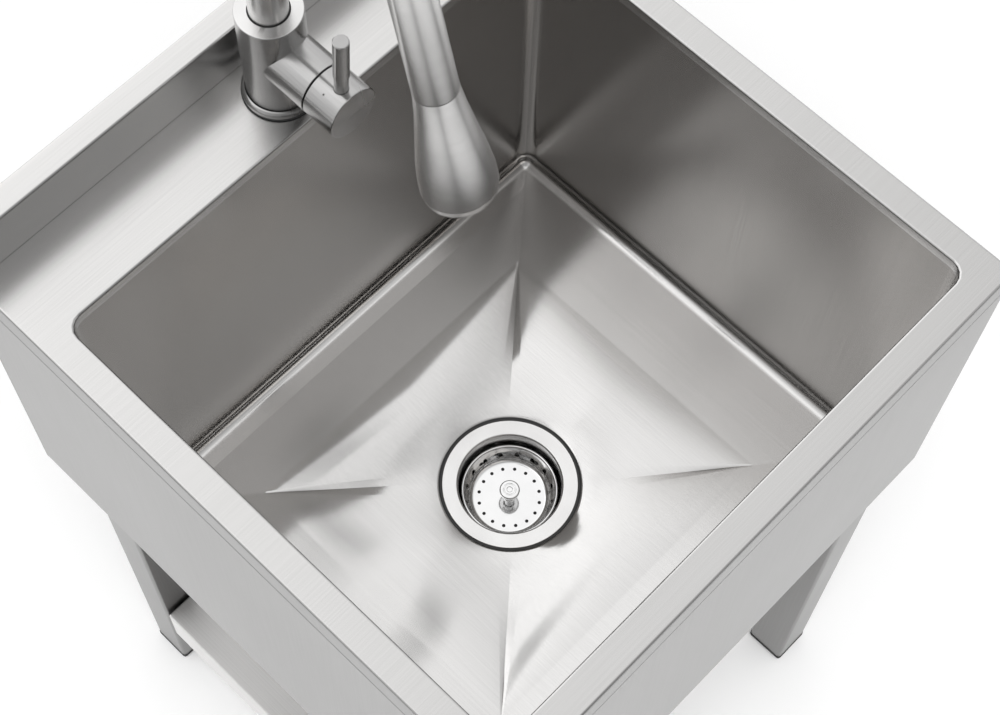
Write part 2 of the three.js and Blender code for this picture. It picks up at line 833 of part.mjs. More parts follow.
function addStrainer() {
  const drain = new THREE.Group();
  drain.position.set(0, openingY, strainerTop);
  group.add(drain);
  const gasketTop = floorUnderside - gap;
  const locknutTop = gasketTop - gasketThickness - gap;
  const inner = strainerOuterRadius + gap;
  place('strainer_body', strainerGeometry(), polishedSteel, drain);
  place('strainer_gasket', tube(gasketRadius, inner, gasketTop - gasketThickness, gasketTop, fineSides),
    blackRubber, drain);
  place('strainer_locknut', locknutGeometry(locknutTop), plainSteel, drain);
  place('tailpiece', tailpieceGeometry(strainerBottom - gap), polishedSteel, drain);
  place('tailpiece_nut', slipNutGeometry(), whitePlastic, drain);

  const plate = -basketRimDrop - basketDepth;
  const stopperTop = plate - basketSheet - gap;
  const bore = postRadius + gap;
  place('basket', basketGeometry(), polishedSteel, drain);
  place('basket_stopper', turned([
    [bore, stopperTop],
    [stopperRadius - stopperHeight / 2, stopperTop],
    [stopperRadius, stopperTop - stopperHeight],
    [bore, stopperTop - stopperHeight],
  ]), blackRubber, drain);
  place('basket_post', turned([
    [0, stopperTop - postTail],
    [postRadius, stopperTop - postTail],
    [postRadius, plate + gap],
    [knobNeckRadius, plate + gap],
    [knobNeckRadius, -basketRimDrop - knobHead],
    [knobRadius - strainerEdge, -basketRimDrop - knobHead],
    [knobRadius, -basketRimDrop - knobHead / 2],
    [knobRadius - strainerEdge, -basketRimDrop],
    [0, -basketRimDrop],
  ], plainSides), polishedSteel, drain);
}

// ---- Tap body: heights count from the deck ------------------------------------------

const bodyFoot = gap + tapGasketThickness + gap;
const bushBore = spoutRadius + gap + bushWall + gap;
const spoutFoot = tapBodyHeight - spoutInsert;
const cartridgeFront = valveHousingReach - cartridgeNutThickness - gap;
const cartridgeBack = cartridgeFront - cartridgeLength;
const discBack = cartridgeBack + discSeat;
const tiltPivotReach = cartridgeFront - pivotDepth;

// Turns a profile of [radius, reach] pairs about the valve's axis, which points to -Y.
function valveTurned(profile, sides = plainSides) {
  return turned(profile, sides).rotateX(Math.PI / 2);
}

function tapBodyGeometry() {
  const column = turned([
    [0, bodyFoot],
    [tapBodyRadius, bodyFoot],
    [tapBodyRadius, tapBodyHeight - tapBodyEdge],
    [tapBodyRadius - tapBodyEdge, tapBodyHeight],
    [0, tapBodyHeight],
  ], fineSides);
  const housing = valveTurned([[0, 0], [valveRadius, 0], [valveRadius, valveHousingReach], [0, valveHousingReach]],
    fineSides)
    .translate(0, 0, valveHeight);
  const spoutBore = rod(bushBore, spoutFoot - gap, tapBodyHeight + gap, plainSides);
  const waterway = rod(shankRadius - shankWall, bodyFoot - gap, tapBodyHeight, plainSides);
  const shankBore = rod(shankRadius + gap, bodyFoot - gap, shankRise + gap, plainSides);
  const cartridgeBore = valveTurned([
    [0, cartridgeBack - gap],
    [cartridgeRadius + gap, cartridgeBack - gap],
    [cartridgeRadius + gap, valveHousingReach + gap],
    [0, valveHousingReach + gap],
  ]).translate(0, 0, valveHeight);
  return cut(join([column, housing]), [spoutBore, waterway, shankBore, cartridgeBore]);
}

function baseRingGeometry() {
  const inner = tapBodyRadius + gap;
  const edge = baseRingRadius - inner;
  const top = bodyFoot + baseRingHeight;
  return turned([
    [inner, bodyFoot],
    [baseRingRadius, bodyFoot],
    [baseRingRadius, top - edge],
    ...quarterTurn(2).slice(1).map((a) => [inner + edge * Math.cos(a), top - edge + edge * Math.sin(a)]),
  ], fineSides);
}

// The cartridge has a ball socket that opens in a cone to the front, over the chamber of
// its turning disc.
function cartridgeGeometry() {
  const discFront = discBack + discThickness;
  return valveTurned([
    [0, cartridgeBack],
    [cartridgeRadius, cartridgeBack],
    [cartridgeRadius, cartridgeFront],
    [cartridgeMouth, cartridgeFront],
    [stemBallRadius + gap, tiltPivotReach + stemBallRadius / 2],
    [stemBallRadius + gap, tiltPivotReach - stemBallRadius / 2],
    [discNeckRadius, discFront + gap],
    [discRadius + gap, discFront + gap],
    [discRadius + gap, discBack - gap],
    [0, discBack - gap],
  ]);
}

function cartridgeNutGeometry() {
  const back = cartridgeFront + gap;
  const front = back + cartridgeNutThickness;
  return valveTurned([
    [cartridgeMouth, back],
    [cartridgeRadius, back],
    [cartridgeRadius, front],
    ...quarterTurn(2).slice(1).map((a) => [
      cartridgeMouth + (cartridgeRadius - cartridgeMouth) * Math.cos(a),
      front + cartridgeDome * Math.sin(a),
    ]),
  ]);
}

function addTapBody() {
  const tap = new THREE.Group();
  tap.position.set(0, tapY, rimHeight);
  group.add(tap);
  const under = -sheet - gap;
  const around = shankRadius + gap;
  place('tap_gasket', tube(tapGasketRadius, deckHoleRadius, gap, gap + tapGasketThickness), blackRubber, tap);
  place('tap_base_ring', baseRingGeometry(), satinSteel, tap);
  place('tap_body', tapBodyGeometry(), satinSteel, tap);
  place('tap_shank', tube(shankRadius, shankRadius - shankWall, -shankDrop, shankRise), plainSteel, tap);
  place('tap_washer', tube(tapWasherRadius, around, under - tapWasherThickness, under), blackRubber, tap);
  const nutTop = under - tapWasherThickness - gap;
  place('tap_nut', cut(rod(tapNutRadius, nutTop - tapNutHeight, nutTop, 6),
    [rod(around, nutTop - 2 * tapNutHeight, nutTop + gap, plainSides)]), plainSteel, tap);
  place('spout_bush', tube(bushBore - gap, spoutRadius + gap, spoutFoot + gap, tapBodyHeight - gap),
    blackPlastic, tap);

  const valve = new THREE.Group();
  valve.position.z = valveHeight;
  tap.add(valve);
  place('cartridge', cartridgeGeometry(), greyPlastic, valve);
  place('cartridge_nut', cartridgeNutGeometry(), polishedSteel, valve);
  place('mixing_disc', valveTurned([
    [0, discBack], [discRadius, discBack], [discRadius, discBack + discThickness], [0, discBack + discThickness],
  ]), whitePlastic, valve);
}

// ---- Handle -------------------------------------------------------------------------

const capRear = valveHousingReach + capJoint;
const capCavityReach = capReach - capSolidLength;
const capHubReach = capReach - 3 * capWall;
const grubReach = (capCavityReach + capHubReach) / 2;
const leverTilt = (leverLean * Math.PI) / 180;

function handleCapGeometry() {
  const stemBore = stemRadius + gap;
  const cavity = valveRadius - capWall;
  const cap = valveTurned([
    [valveRadius - capRearWall, capRear],
    [valveRadius, capRear],
    [valveRadius, capReach - capEdge],
    [valveRadius - capEdge, capReach],
    [0, capReach],
    [0, capHubReach],
    [stemBore, capHubReach],
    [stemBore, capCavityReach],
    [cavity, capCavityReach],
    [cavity, capRear + capWall],
  ], fineSides);
  const leverHole = rod(leverNeckRadius + gap, valveRadius - leverRootDepth - gap, 2 * valveRadius, smallSides * 2)
    .rotateX(leverTilt)
    .translate(0, -leverReach, 0);
  const grubHole = rod(grubRadius + gap, -2 * valveRadius, -stemRadius)
    .translate(0, -grubReach, 0);
  return cut(cap, [leverHole, grubHole]);
}

// The lever leans a little to the front.
function leverGeometry() {
  const root = valveRadius - leverRootDepth;
  const neckTop = valveRadius + leverNeckLength;
  const top = leverTop - valveHeight;
  return turned([
    [0, root],
    [leverNeckRadius, root],
    [leverNeckRadius, neckTop],
    [leverRadius, neckTop + capEdge],
    [leverRadius, top - capEdge],
    [leverRadius - capEdge, top],
    [0, top],
  ], smallSides * 2).rotateX(leverTilt);
}

function addHandle() {
  const handle = new THREE.Group();
  handle.position.set(0, tapY, valveZ);
  group.add(handle);
  const tail = discBack + discThickness + 3 * gap;
  place('valve_stem', valveTurned([
    [0, tail],
    [stemNeckRadius, tail],
    [stemNeckRadius, tiltPivotReach - stemBallHalf],
    [stemBallRadius, tiltPivotReach],
    [stemRadius, tiltPivotReach + stemBallHalf],
    [stemRadius, capHubReach - gap],
    [0, capHubReach - gap],
  ], smallSides), plainSteel, handle);
  place('handle_cap', handleCapGeometry(), satinSteel, handle);
  place('lever_pin', leverGeometry(), satinSteel, handle).position.y = -leverReach;
  place('handle_screw', rod(grubRadius, capWall - valveRadius, -stemRadius - gap), plainSteel, handle)
    .position.y = -grubReach;
}

// ---- Spout and spray head -----------------------------------------------------------

const lean = (spoutLean * Math.PI) / 180;

// Stations along the spout: straight up, round the arch, then straight down to the dock.
function spoutStations() {
  const stations = [{ y: 0, z: spoutFoot + gap, turn: 0 }, { y: 0, z: tapBodyHeight, turn: 0 }];
  const sweep = Math.PI - lean;
  const steps = 10;
  for (let i = 0; i <= steps; i++) {
    const a = (sweep * i) / steps;
    stations.push({ y: -archRadius * (1 - Math.cos(a)), z: archCentreHeight + archRadius * Math.sin(a), turn: a });
  }
  const end = stations[stations.length - 1];
  stations.push({
    y: end.y - spoutStraight * Math.sin(lean),
    z: end.z - spoutStraight * Math.cos(lean),
    turn: sweep,
  });
  return stations;
}

const spoutPath = spoutStations();
const dock = spoutPath[spoutPath.length - 1];

function spoutGeometry() {
  const sides = plainSides;
  const lengths = [0];
  for (let i = 1; i < spoutPath.length; i++) {
    const step = Math.hypot(spoutPath[i].y - spoutPath[i - 1].y, spoutPath[i].z - spoutPath[i - 1].z);
    lengths.push(lengths[i - 1] + step);
  }
  const whole = lengths[lengths.length - 1];
  const swell = (i) => (spoutEndRadius - spoutRadius) * Math.max(0, (lengths[i] / whole) * 2 - 1);
  const ring = (i, inset) => Array.from({ length: sides }, (_, k) => {
    const station = spoutPath[i];
    const r = spoutRadius + swell(i) - inset;
    const a = (2 * Math.PI * k) / sides;
    const across = r * Math.sin(a);
    return new THREE.Vector3(r * Math.cos(a), station.y + across * Math.cos(station.turn),
      station.z + across * Math.sin(station.turn));
  });
  const order = spoutPath.map((_, i) => i);
  return skin([...order.map((i) => ring(i, 0)), ...order.reverse().map((i) => ring(i, spoutWall))], true);
}

// The spray head swells from the joint to a bell and rolls in at its rim.
function sprayHeadGeometry() {
  const ease = (t) => headBellTaper * t + (1 - headBellTaper) * (3 * t * t - 2 * t * t * t);
  const bell = (t) => spoutEndRadius + (headBellRadius - spoutEndRadius) * ease(t);
  const steps = 6;
  const flare = Array.from({ length: steps }, (_, i) => {
    const t = i / (steps - 1);
    return [bell(t), -2 * gap - (headBellDrop - 2 * gap) * t];
  });
  const inside = flare.filter(([, z]) => z < -headSocketDepth - headWall)
    .map(([r, z]) => [r - headWall, z]).reverse();
  const inner = headRimRadius - headWall;
  const socket = hoseRadius + gap;
  return turned([
    [socket, -2 * gap],
    ...flare,
    [headBellRadius - (headBellRadius - headRimRadius) / 4, -(headBellDrop + headLength) / 2],
    [headRimRadius, capEdge - headLength],
    [headRimRadius - capEdge, -headLength],
    [inner, -headLength],
    [inner, -headBellDrop - headWall],
    ...inside,
    [socket, -headSocketDepth],
  ], fineSides);
}

function sprayFaceGeometry() {
  const radius = headRimRadius - headWall - gap;
  const top = -headLength + headFaceRecess - gap;
  const bottom = top - sprayFaceThickness;
  const nozzles = Array.from({ length: nozzleCount }, (_, i) =>
    rod(nozzleRadius, bottom - nozzleLength, bottom + nozzleLength, 5)
      .translate(nozzleCircle, 0, 0).rotateZ((2 * Math.PI * i) / nozzleCount));
  return join([rod(radius, bottom, top, plainSides), ...nozzles]);
}

function addSpout() {
  const spout = new THREE.Group();
  spout.position.set(0, tapY, rimHeight);
  group.add(spout);
  place('spout_tube', spoutGeometry(), satinSteel, spout);

  const head = new THREE.Group();
  head.position.set(0, dock.y, dock.z);
  head.rotation.x = -lean;
  spout.add(head);
  const dockOuter = spoutEndRadius - spoutWall - gap - (spoutEndRadius - spoutRadius) / 4;
  place('dock_collar', tube(dockOuter, hoseRadius + 2 * gap, gap, dockLength), blackPlastic, head);
  place('spray_head', sprayHeadGeometry(), satinSteel, head);
  place('spray_face', sprayFaceGeometry(), blackRubber, head);
  place('spray_hose', tube(hoseRadius, hoseRadius - hoseWall, -headSocketDepth + gap,
    hoseLength - headSocketDepth, smallSides * 2), greyPlastic, head);
}

// ---- Assembly -----------------------------------------------------------------------

place('top_deck', deckGeometry(), deckSteel);
place('backsplash', backsplashGeometry(), deckSteel)
  .position.set(0, sinkDepth / 2 - splashThickness / 2, rimHeight);
place('bowl', bowlGeometry(), bowlSteel).position.y = openingY;
addAprons();
addLegs();
addShelf();
addStrainer();
addTapBody();
addHandle();
addSpout();

export default group;
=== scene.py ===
"""Utility laundry sink: fine surfaces, finishes, camera and light. Metres, +Z up, front at -Y."""

import json
import math

import bpy
from mathutils import Matrix, Vector


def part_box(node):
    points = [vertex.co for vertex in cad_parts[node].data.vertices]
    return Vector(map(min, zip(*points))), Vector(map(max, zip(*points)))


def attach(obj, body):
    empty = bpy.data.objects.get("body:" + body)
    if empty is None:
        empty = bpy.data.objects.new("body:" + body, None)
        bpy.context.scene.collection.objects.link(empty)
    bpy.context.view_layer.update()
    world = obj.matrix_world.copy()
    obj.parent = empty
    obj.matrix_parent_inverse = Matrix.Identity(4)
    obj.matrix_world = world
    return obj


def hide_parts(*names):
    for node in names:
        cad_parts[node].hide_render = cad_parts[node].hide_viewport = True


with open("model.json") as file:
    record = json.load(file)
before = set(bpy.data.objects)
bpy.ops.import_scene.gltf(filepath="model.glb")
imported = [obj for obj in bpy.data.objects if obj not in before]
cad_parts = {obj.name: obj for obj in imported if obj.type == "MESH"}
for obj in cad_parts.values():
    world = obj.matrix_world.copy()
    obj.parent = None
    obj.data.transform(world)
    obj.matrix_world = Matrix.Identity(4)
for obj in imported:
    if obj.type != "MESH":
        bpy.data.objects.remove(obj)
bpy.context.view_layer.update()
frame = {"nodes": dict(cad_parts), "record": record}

MM = 0.001
ORIGIN = Vector((0, 0, 0))
ROUND = 96          # sides of a turned piece that shows
SMALL_ROUND = 48    # sides of a small turned piece
SMOOTH = 35         # edges flatter than this many degrees are shaded smooth
FOLDS = 50          # the same on a folded sheet
WELD = 0.02 * MM    # points of a node closer than this become one
FLAT = 0.5          # faces of a node within this many degrees of each other become one


# ---- Places taken from the frame ----

def middle(node):
    low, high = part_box(node)
    return (low + high) / 2


def top_of(node):
    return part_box(node)[1].z


rim_z = top_of("top_deck")
drain = Vector((middle("strainer_body").x, middle("strainer_body").y, top_of("strainer_body")))
tap = Vector((middle("tap_base_ring").x, middle("tap_base_ring").y, rim_z))


# ---- Modelling ----

def nothing_selected():
    if bpy.context.mode != "OBJECT":
        bpy.ops.object.mode_set(mode="OBJECT")
    bpy.ops.object.select_all(action="DESELECT")


def only(piece):
    nothing_selected()
    piece.select_set(True)
    bpy.context.view_layer.objects.active = piece


def edit(piece, mode="VERT"):
    only(piece)
    bpy.ops.object.mode_set(mode="EDIT")
    bpy.ops.mesh.select_mode(type=mode)
    bpy.ops.mesh.select_all(action="SELECT")


def done(piece):
    bpy.ops.object.mode_set(mode="OBJECT")
    return piece


def new_piece(name):
    """Names the shape just added and applies its place and size to its mesh."""
    piece = bpy.context.object
    piece.name = name
    bpy.ops.object.transform_apply()
    return piece


def join_open_ends():
    """Bridges the two open rings of the piece that is being edited."""
    bpy.ops.mesh.select_all(action="DESELECT")
    bpy.ops.mesh.select_mode(type="EDGE")
    bpy.ops.mesh.select_non_manifold()
    bpy.ops.mesh.bridge_edge_loops()


def face_all(piece, inwards=False):
    bpy.ops.mesh.select_all(action="SELECT")
    bpy.ops.mesh.normals_make_consistent(inside=inwards)
    return done(piece)


def turned(name, foot, profile, sides=ROUND):
    """A piece turned about a vertical axis: profile holds (radius, height) pairs in millimetres.
    A ring is drawn at the first pair and extruded, sized and lifted to each pair that follows."""
    pairs = [(r * MM, h * MM) for r, h in profile]
    starts_closed = pairs[0][0] == 0
    ends_closed = pairs[-1][0] == 0
    if starts_closed:
        pairs = pairs[1:]
    radius, height = pairs[0]
    nothing_selected()
    bpy.ops.mesh.primitive_circle_add(
        vertices=sides, radius=radius, fill_type="TRIFAN" if starts_closed else "NOTHING",
        location=foot + Vector((0, 0, height)))
    piece = new_piece(name)
    edit(piece, "EDGE")
    if starts_closed:
        bpy.ops.mesh.region_to_loop()
    for new_radius, new_height in pairs[1:]:
        rise = (0, 0, new_height - height)
        bpy.ops.mesh.extrude_edges_move(TRANSFORM_OT_translate={"value": rise})
        if new_radius == 0:
            bpy.ops.mesh.merge(type="CENTER")
            break
        if new_radius != radius:
            grow = new_radius / radius
            bpy.ops.transform.resize(value=(grow, grow, 1),
                                     center_override=foot + Vector((0, 0, new_height)))
        radius, height = new_radius, new_height
    if not starts_closed and not ends_closed:
        join_open_ends()
    return face_all(piece)


def modify(piece, kind, **settings):
    only(piece)
    bpy.ops.object.modifier_add(type=kind)
    modifier = piece.modifiers[-1]
    for key, value in settings.items():
        setattr(modifier, key, value)
    bpy.ops.object.modifier_apply(modifier=modifier.name)


def arc(centre_r, centre_h, radius, start, end, steps=5):
    """Profile pairs along an arc; 0 degrees points away from the axis and 90 along it."""
    turns = [math.radians(start + (end - start) * i / steps) for i in range(steps + 1)]
    return [(centre_r + radius * math.cos(a), centre_h + radius * math.sin(a)) for a in turns]


def thread(radius, start, end, pitch, depth):
    """Crests and roots of a thread, drawn as rings from start towards end."""
    step = math.copysign(pitch / 2, end - start)
    count = int(abs(end - start) / (pitch / 2))
    return [(radius - depth * (i % 2), start + step * i) for i in range(count + 1)]


def round_edges(piece, width, segments=2, angle=30):
    modify(piece, "BEVEL", width=width * MM, segments=segments, limit_method="ANGLE",
           angle_limit=math.radians(angle))


def smooth(piece, angle=SMOOTH):
    """Smooth shading that keeps large flat faces flat beside their folds."""
    only(piece)
    bpy.ops.object.shade_smooth_by_angle(angle=math.radians(angle))
    modify(piece, "WEIGHTED_NORMAL", keep_sharp=True)


def move_mesh(piece, matrix):
    """Moves the mesh itself, so that its object stays at the origin and unturned."""
    piece.data.transform(matrix)
    piece.data.update()
    return piece


def shift(piece, by):
    return move_mesh(piece, Matrix.Translation(by))


def turn_piece(piece, centre, axis, degrees):
    turn = Matrix.Rotation(math.radians(degrees), 4, axis)
    return move_mesh(piece, Matrix.Translation(centre) @ turn @ Matrix.Translation(-centre))


def combine(piece, other, operation):
    modify(piece, "BOOLEAN", object=other, operation=operation, solver="EXACT")
    bpy.data.objects.remove(other)


def cut_away(piece, tool):
    combine(piece, tool, "DIFFERENCE")


def merge_with(piece, other):
    combine(piece, other, "UNION")


def new_object(name, data):
    made = bpy.data.objects.new(name, data)
    bpy.context.scene.collection.objects.link(made)
    return made


def copy_of(piece, name):
    return new_object(name, piece.data.copy())


def join_all(pieces):
    only(pieces[0])
    for piece in pieces:
        piece.select_set(True)
    bpy.ops.object.join()
    return pieces[0]


def around(model, centre, count, first=0.0):
    """Copies of a model evenly round an upright axis, joined in one; first is in spacings."""
    turns = [360 * (i + first) / count for i in range(count)]
    copies = [turn_piece(copy_of(model, "copy"), centre, "Z", turn) for turn in turns]
    bpy.data.objects.remove(model)
    return join_all(copies)


def rod(name, foot, radius, low, high, sides=SMALL_ROUND):
    return turned(name, foot, [(0, low), (radius, low), (radius, high), (0, high)], sides)


def bar(name, low, high):
    """A block between two corners, in metres."""
    nothing_selected()
    low, high = Vector(low), Vector(high)
    bpy.ops.mesh.primitive_cube_add(size=1, location=(low + high) / 2, scale=high - low)
    return new_piece(name)


def body_of(node):
    for body, nodes in frame["record"]["behaviour"]["bodies"].items():
        if node in nodes:
            return body
    raise KeyError(node)


def slot_of(node):
    return next(s["material_slot"] for s in frame["record"]["subparts"] if s["node"] == node)


def fit(piece, node, material):
    """The piece stands for the node: the node is hidden, and the piece takes the given finish and
    rides on the node's body.
    """
    piece.data.materials.clear()
    piece.data.materials.append(material)
    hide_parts(node)
    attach(piece, body_of(node))
    return piece


def finished(piece, node, material, angle=SMOOTH, turned_on=None, axis=(0, 0, 1)):
    """Smooths the piece, maps its grain round an axis where it has one, and fits it."""
    smooth(piece, angle)
    if turned_on is not None:
        add_turning_map(piece, turned_on, axis)
    return fit(piece, node, material)


def sheet_copy(node, name, material, bevel=0.0):
    """A folded sheet or tube keeps its node's shape, with seams closed and folds smooth."""
    piece = copy_of(frame["nodes"][node], name)
    edit(piece)
    bpy.ops.mesh.remove_doubles(threshold=WELD)
    bpy.ops.mesh.dissolve_limited(angle_limit=math.radians(FLAT))
    done(piece)
    if bevel:
        round_edges(piece, bevel, angle=60)
    return finished(piece, node, material, FOLDS)


def second_finish(piece, material, wanted):
    """Gives another finish to the faces whose middle and normal satisfy wanted."""
    piece.data.materials.append(material)
    for face in piece.data.polygons:
        if wanted(face.center, face.normal):
            face.material_index = len(piece.data.materials) - 1


# ---- Finishes ----

NOISE_SPREAD = (0.3, 0.7)    # where most values of a noise lie
GRAIN_LONG = 9               # cycles a metre along the brushing
GRAIN_FINE = 1100            # cycles a metre across it
GRAIN_DEPTH = 0.02 * MM
BAND_LONG = 2.5              # the wider streaks
BAND_WIDE = 90
CLOUDS = 6                   # cycles a metre of the cloudy differences
TURNED_LONG = 18             # cycles a metre round a turned piece
TURNED_CLOUDS = (30, 30, 12)
SMEARS = 60
SMEAR_RELIEF = 900
PEBBLES = 1800
PEBBLE_DEPTH = 0.05 * MM


def add_node(tree, kind, **values):
    """A new node: each value is a setting of its own or of an input, with _ for a space."""
    node = tree.nodes.new(kind)
    for key, value in values.items():
        if hasattr(node, key):
            setattr(node, key, value)
        else:
            node.inputs[key.replace("_", " ")].default_value = value
    return node


def mixed(tree, factor, first, second, blend="MIX"):
    """Two colours mixed. A value is a node's output or a number, or for a colour three."""
    node = add_node(tree, "ShaderNodeMix", data_type="RGBA", blend_type=blend)
    for name, value in (("Factor", factor), ("A", first), ("B", second)):
        if isinstance(value, bpy.types.NodeSocket):
            tree.links.new(value, node.inputs[name])
        else:
            node.inputs[name].default_value = (*value, 1) if name in "AB" else value
    return node.outputs["Result"]


def grey(value, warmth=0.0):
    return (value * (1 + warmth), value, value * (1 - warmth))


def greys(value, contrast, warmth):
    """A darker and a lighter grey on either side of a value."""
    return [grey(value * (1 + side * contrast), warmth) for side in (-1, 1)]


class Nodes:
    """A material's node tree, with short calls to add and link its nodes."""

    def __init__(self, name, metallic=0.0):
        self.material = bpy.data.materials.new(name)
        self.material.use_nodes = True
        self.tree = self.material.node_tree
        self.shader = self.tree.nodes["Principled BSDF"]
        self.shader.inputs["Metallic"].default_value = metallic
        self.place = self.add("ShaderNodeTexCoord").outputs["Object"]

    def add(self, kind, **values):
        return add_node(self.tree, kind, **values)

    def link(self, source, target):
        self.tree.links.new(source, target)

    def noise(self, scale, detail=2.0, roughness=0.5):
        """Noise with so many cycles a metre along each axis."""
        mapping = self.add("ShaderNodeMapping", vector_type="POINT", Scale=scale)
        node = self.add("ShaderNodeTexNoise", Scale=1.0, Detail=detail, Roughness=roughness)
        self.link(self.place, mapping.inputs["Vector"])
        self.link(mapping.outputs["Vector"], node.inputs["Vector"])
        return node.outputs["Fac"]

    def between(self, noise, low, high):
        start, end = NOISE_SPREAD
        node = self.add("ShaderNodeMapRange", From_Min=start, From_Max=end, To_Min=low, To_Max=high)
        self.link(noise, node.inputs["Value"])
        return node.outputs["Result"]

    def tint(self, noise, dark, light):
        return mixed(self.tree, self.between(noise, 0, 1), dark, light)

    def times(self, first, second):
        return mixed(self.tree, 1.0, first, second, "MULTIPLY")

    def colour(self, source):
        self.link(source, self.shader.inputs["Base Color"])

    def roughen(self, noise, low, high):
        self.link(self.between(noise, low, high), self.shader.inputs["Roughness"])

    def bump(self, height, strength, distance):
        node = self.add("ShaderNodeBump", Strength=strength, Distance=distance)
        self.link(height, node.inputs["Height"])
        self.link(node.outputs["Normal"], self.shader.inputs["Normal"])


def brushed(name, value, along, roughness, contrast=0.04, warmth=0.01, grain=0.1, cloud=0.04):
    """Brushed steel: fine grain along one axis, wider soft streaks, and cloudy differences."""
    n = Nodes(name, metallic=1.0)
    streaks = n.noise([GRAIN_LONG if a == along else GRAIN_FINE for a in "XYZ"], roughness=0.6)
    bands = n.noise([BAND_LONG if a == along else BAND_WIDE for a in "XYZ"])
    clouds = n.noise([CLOUDS] * 3)
    streaked = n.tint(streaks, *greys(value, contrast, warmth))
    banded = n.times(streaked, n.tint(bands, grey(1 - contrast / 4), grey(1.0)))
    n.colour(n.times(banded, n.tint(clouds, grey(1 - cloud), grey(1.0))))
    n.roughen(clouds, roughness * 0.95, roughness * 1.05)
    n.bump(streaks, grain, GRAIN_DEPTH)
    return n.material


def turned_steel(name, value, roughness=0.24):
    """Satin steel, brushed round its upright axis: the grain is fine in height only."""
    n = Nodes(name, metallic=1.0)
    streaks = n.noise((TURNED_LONG, TURNED_LONG, GRAIN_FINE), roughness=0.6)
    n.colour(n.tint(streaks, *greys(value, contrast=0.05, warmth=0.008)))
    n.roughen(n.noise(TURNED_CLOUDS), roughness * 0.9, roughness * 1.15)
    n.bump(streaks, 0.12, GRAIN_DEPTH)
    return n.material


def polished(name, value, roughness=0.08):
    """Polished steel: bright, with faint smears and a very fine unevenness."""
    n = Nodes(name, metallic=1.0)
    smears = n.noise([SMEARS] * 3, 3.0, 0.6)
    n.colour(n.tint(smears, grey(value * 0.95), grey(value)))
    n.roughen(smears, roughness * 0.8, roughness * 1.6)
    n.bump(n.noise([SMEAR_RELIEF] * 3), 0.04, GRAIN_DEPTH)
    return n.material


def moulded(name, value, roughness=0.5):
    """Moulded plastic or rubber with a fine matt texture."""
    n = Nodes(name)
    pebbles = n.noise([PEBBLES] * 3, 3.0, 0.6)
    n.colour(n.tint(pebbles, grey(value * 0.8), grey(value * 1.25)))
    n.roughen(pebbles, roughness * 0.85, roughness * 1.15)
    n.bump(pebbles, 0.3, PEBBLE_DEPTH)
    return n.material


GRAIN_MAP = "grain"
OUTWARD_SHARE = 0.4      # how much of a turning map's first direction runs outwards
ROUND_SCALE = 0.02       # metres of its second direction for each radian


def stretch_gloss(material, share):
    """Stretches the gloss along the first direction of the piece's grain map."""
    tree = material.node_tree
    tangent = add_node(tree, "ShaderNodeTangent", direction_type="UV_MAP", uv_map=GRAIN_MAP)
    shader = tree.nodes["Principled BSDF"]
    shader.inputs["Anisotropic"].default_value = share
    tree.links.new(tangent.outputs["Tangent"], shader.inputs["Tangent"])


def add_grain_map(piece):
    """A map whose first direction runs along X and whose second runs along Y."""
    grain = piece.data.uv_layers.new(name=GRAIN_MAP)
    for loop in piece.data.loops:
        place = piece.data.vertices[loop.vertex_index].co
        grain.data[loop.index].uv = (place.x, place.y)


def add_turning_map(piece, foot, axis=(0, 0, 1)):
    """A map whose first direction runs up and out from an axis and whose second runs round it."""
    level = Vector(axis).to_track_quat("Z", "Y").to_matrix().transposed()
    grain = piece.data.uv_layers.new(name=GRAIN_MAP)
    for face in piece.data.polygons:
        centre = level @ (face.center - foot)
        start = math.atan2(centre.y, centre.x)
        for loop in face.loop_indices:
            corner = piece.data.vertices[piece.data.loops[loop].vertex_index]
            place = level @ (corner.co - foot)
            turn = (math.atan2(place.y, place.x) - start + math.pi) % (2 * math.pi) - math.pi
            grain.data[loop].uv = (place.z + OUTWARD_SHARE * place.xy.length,
                                   ROUND_SCALE * (start + turn))


FLOOR_STRETCH = 0.98
TURNED_STRETCH = 0.85

# Brushed steel: lightness, the axis that it is brushed along, roughness.
deck_steel = brushed("deck_steel", 0.63, "X", 0.26, contrast=0.025)
splash_steel = brushed("splash_steel", 0.62, "X", 0.26, contrast=0.03)
# Painted shade: the deck's upright skirt is a darker copy of the deck steel.
shaded_skirt_steel = brushed("shaded_skirt_steel", 0.30, "X", 0.32)
# Painted shade: the bowl's walls are written darker than its floor, though they are one sheet.
shaded_wall_steel = brushed("shaded_wall_steel", 0.48, "Z", 0.24, warmth=0.035)
# Painted shade: the side walls are darker still than the back and front walls.
shaded_side_steel = brushed("shaded_side_steel", 0.38, "Z", 0.24, warmth=0.035)
floor_steel = brushed("floor_steel", 0.72, "Y", 0.155, contrast=0.03, grain=0.015, cloud=0.02)
# Painted highlight: a bright copy of the steel along the front and back coves.
cove_highlight_steel = brushed("cove_highlight_steel", 0.85, "X", 0.15, contrast=0.03, grain=0.02)
apron_steel = brushed("apron_steel", 0.33, "Z", 0.34)
leg_steel = brushed("leg_steel", 0.27, "Z", 0.34)
shelf_steel = brushed("shelf_steel", 0.80, "Y", 0.5)
plain_steel = brushed("plain_steel", 0.45, "X", 0.4)
spout_steel = turned_steel("spout_steel", 0.70)
head_steel = turned_steel("head_steel", 0.80)
satin_steel = turned_steel("satin_steel", 0.47)
flange_steel = turned_steel("flange_steel", 0.80, 0.22)
bright_steel = polished("bright_steel", 0.85)
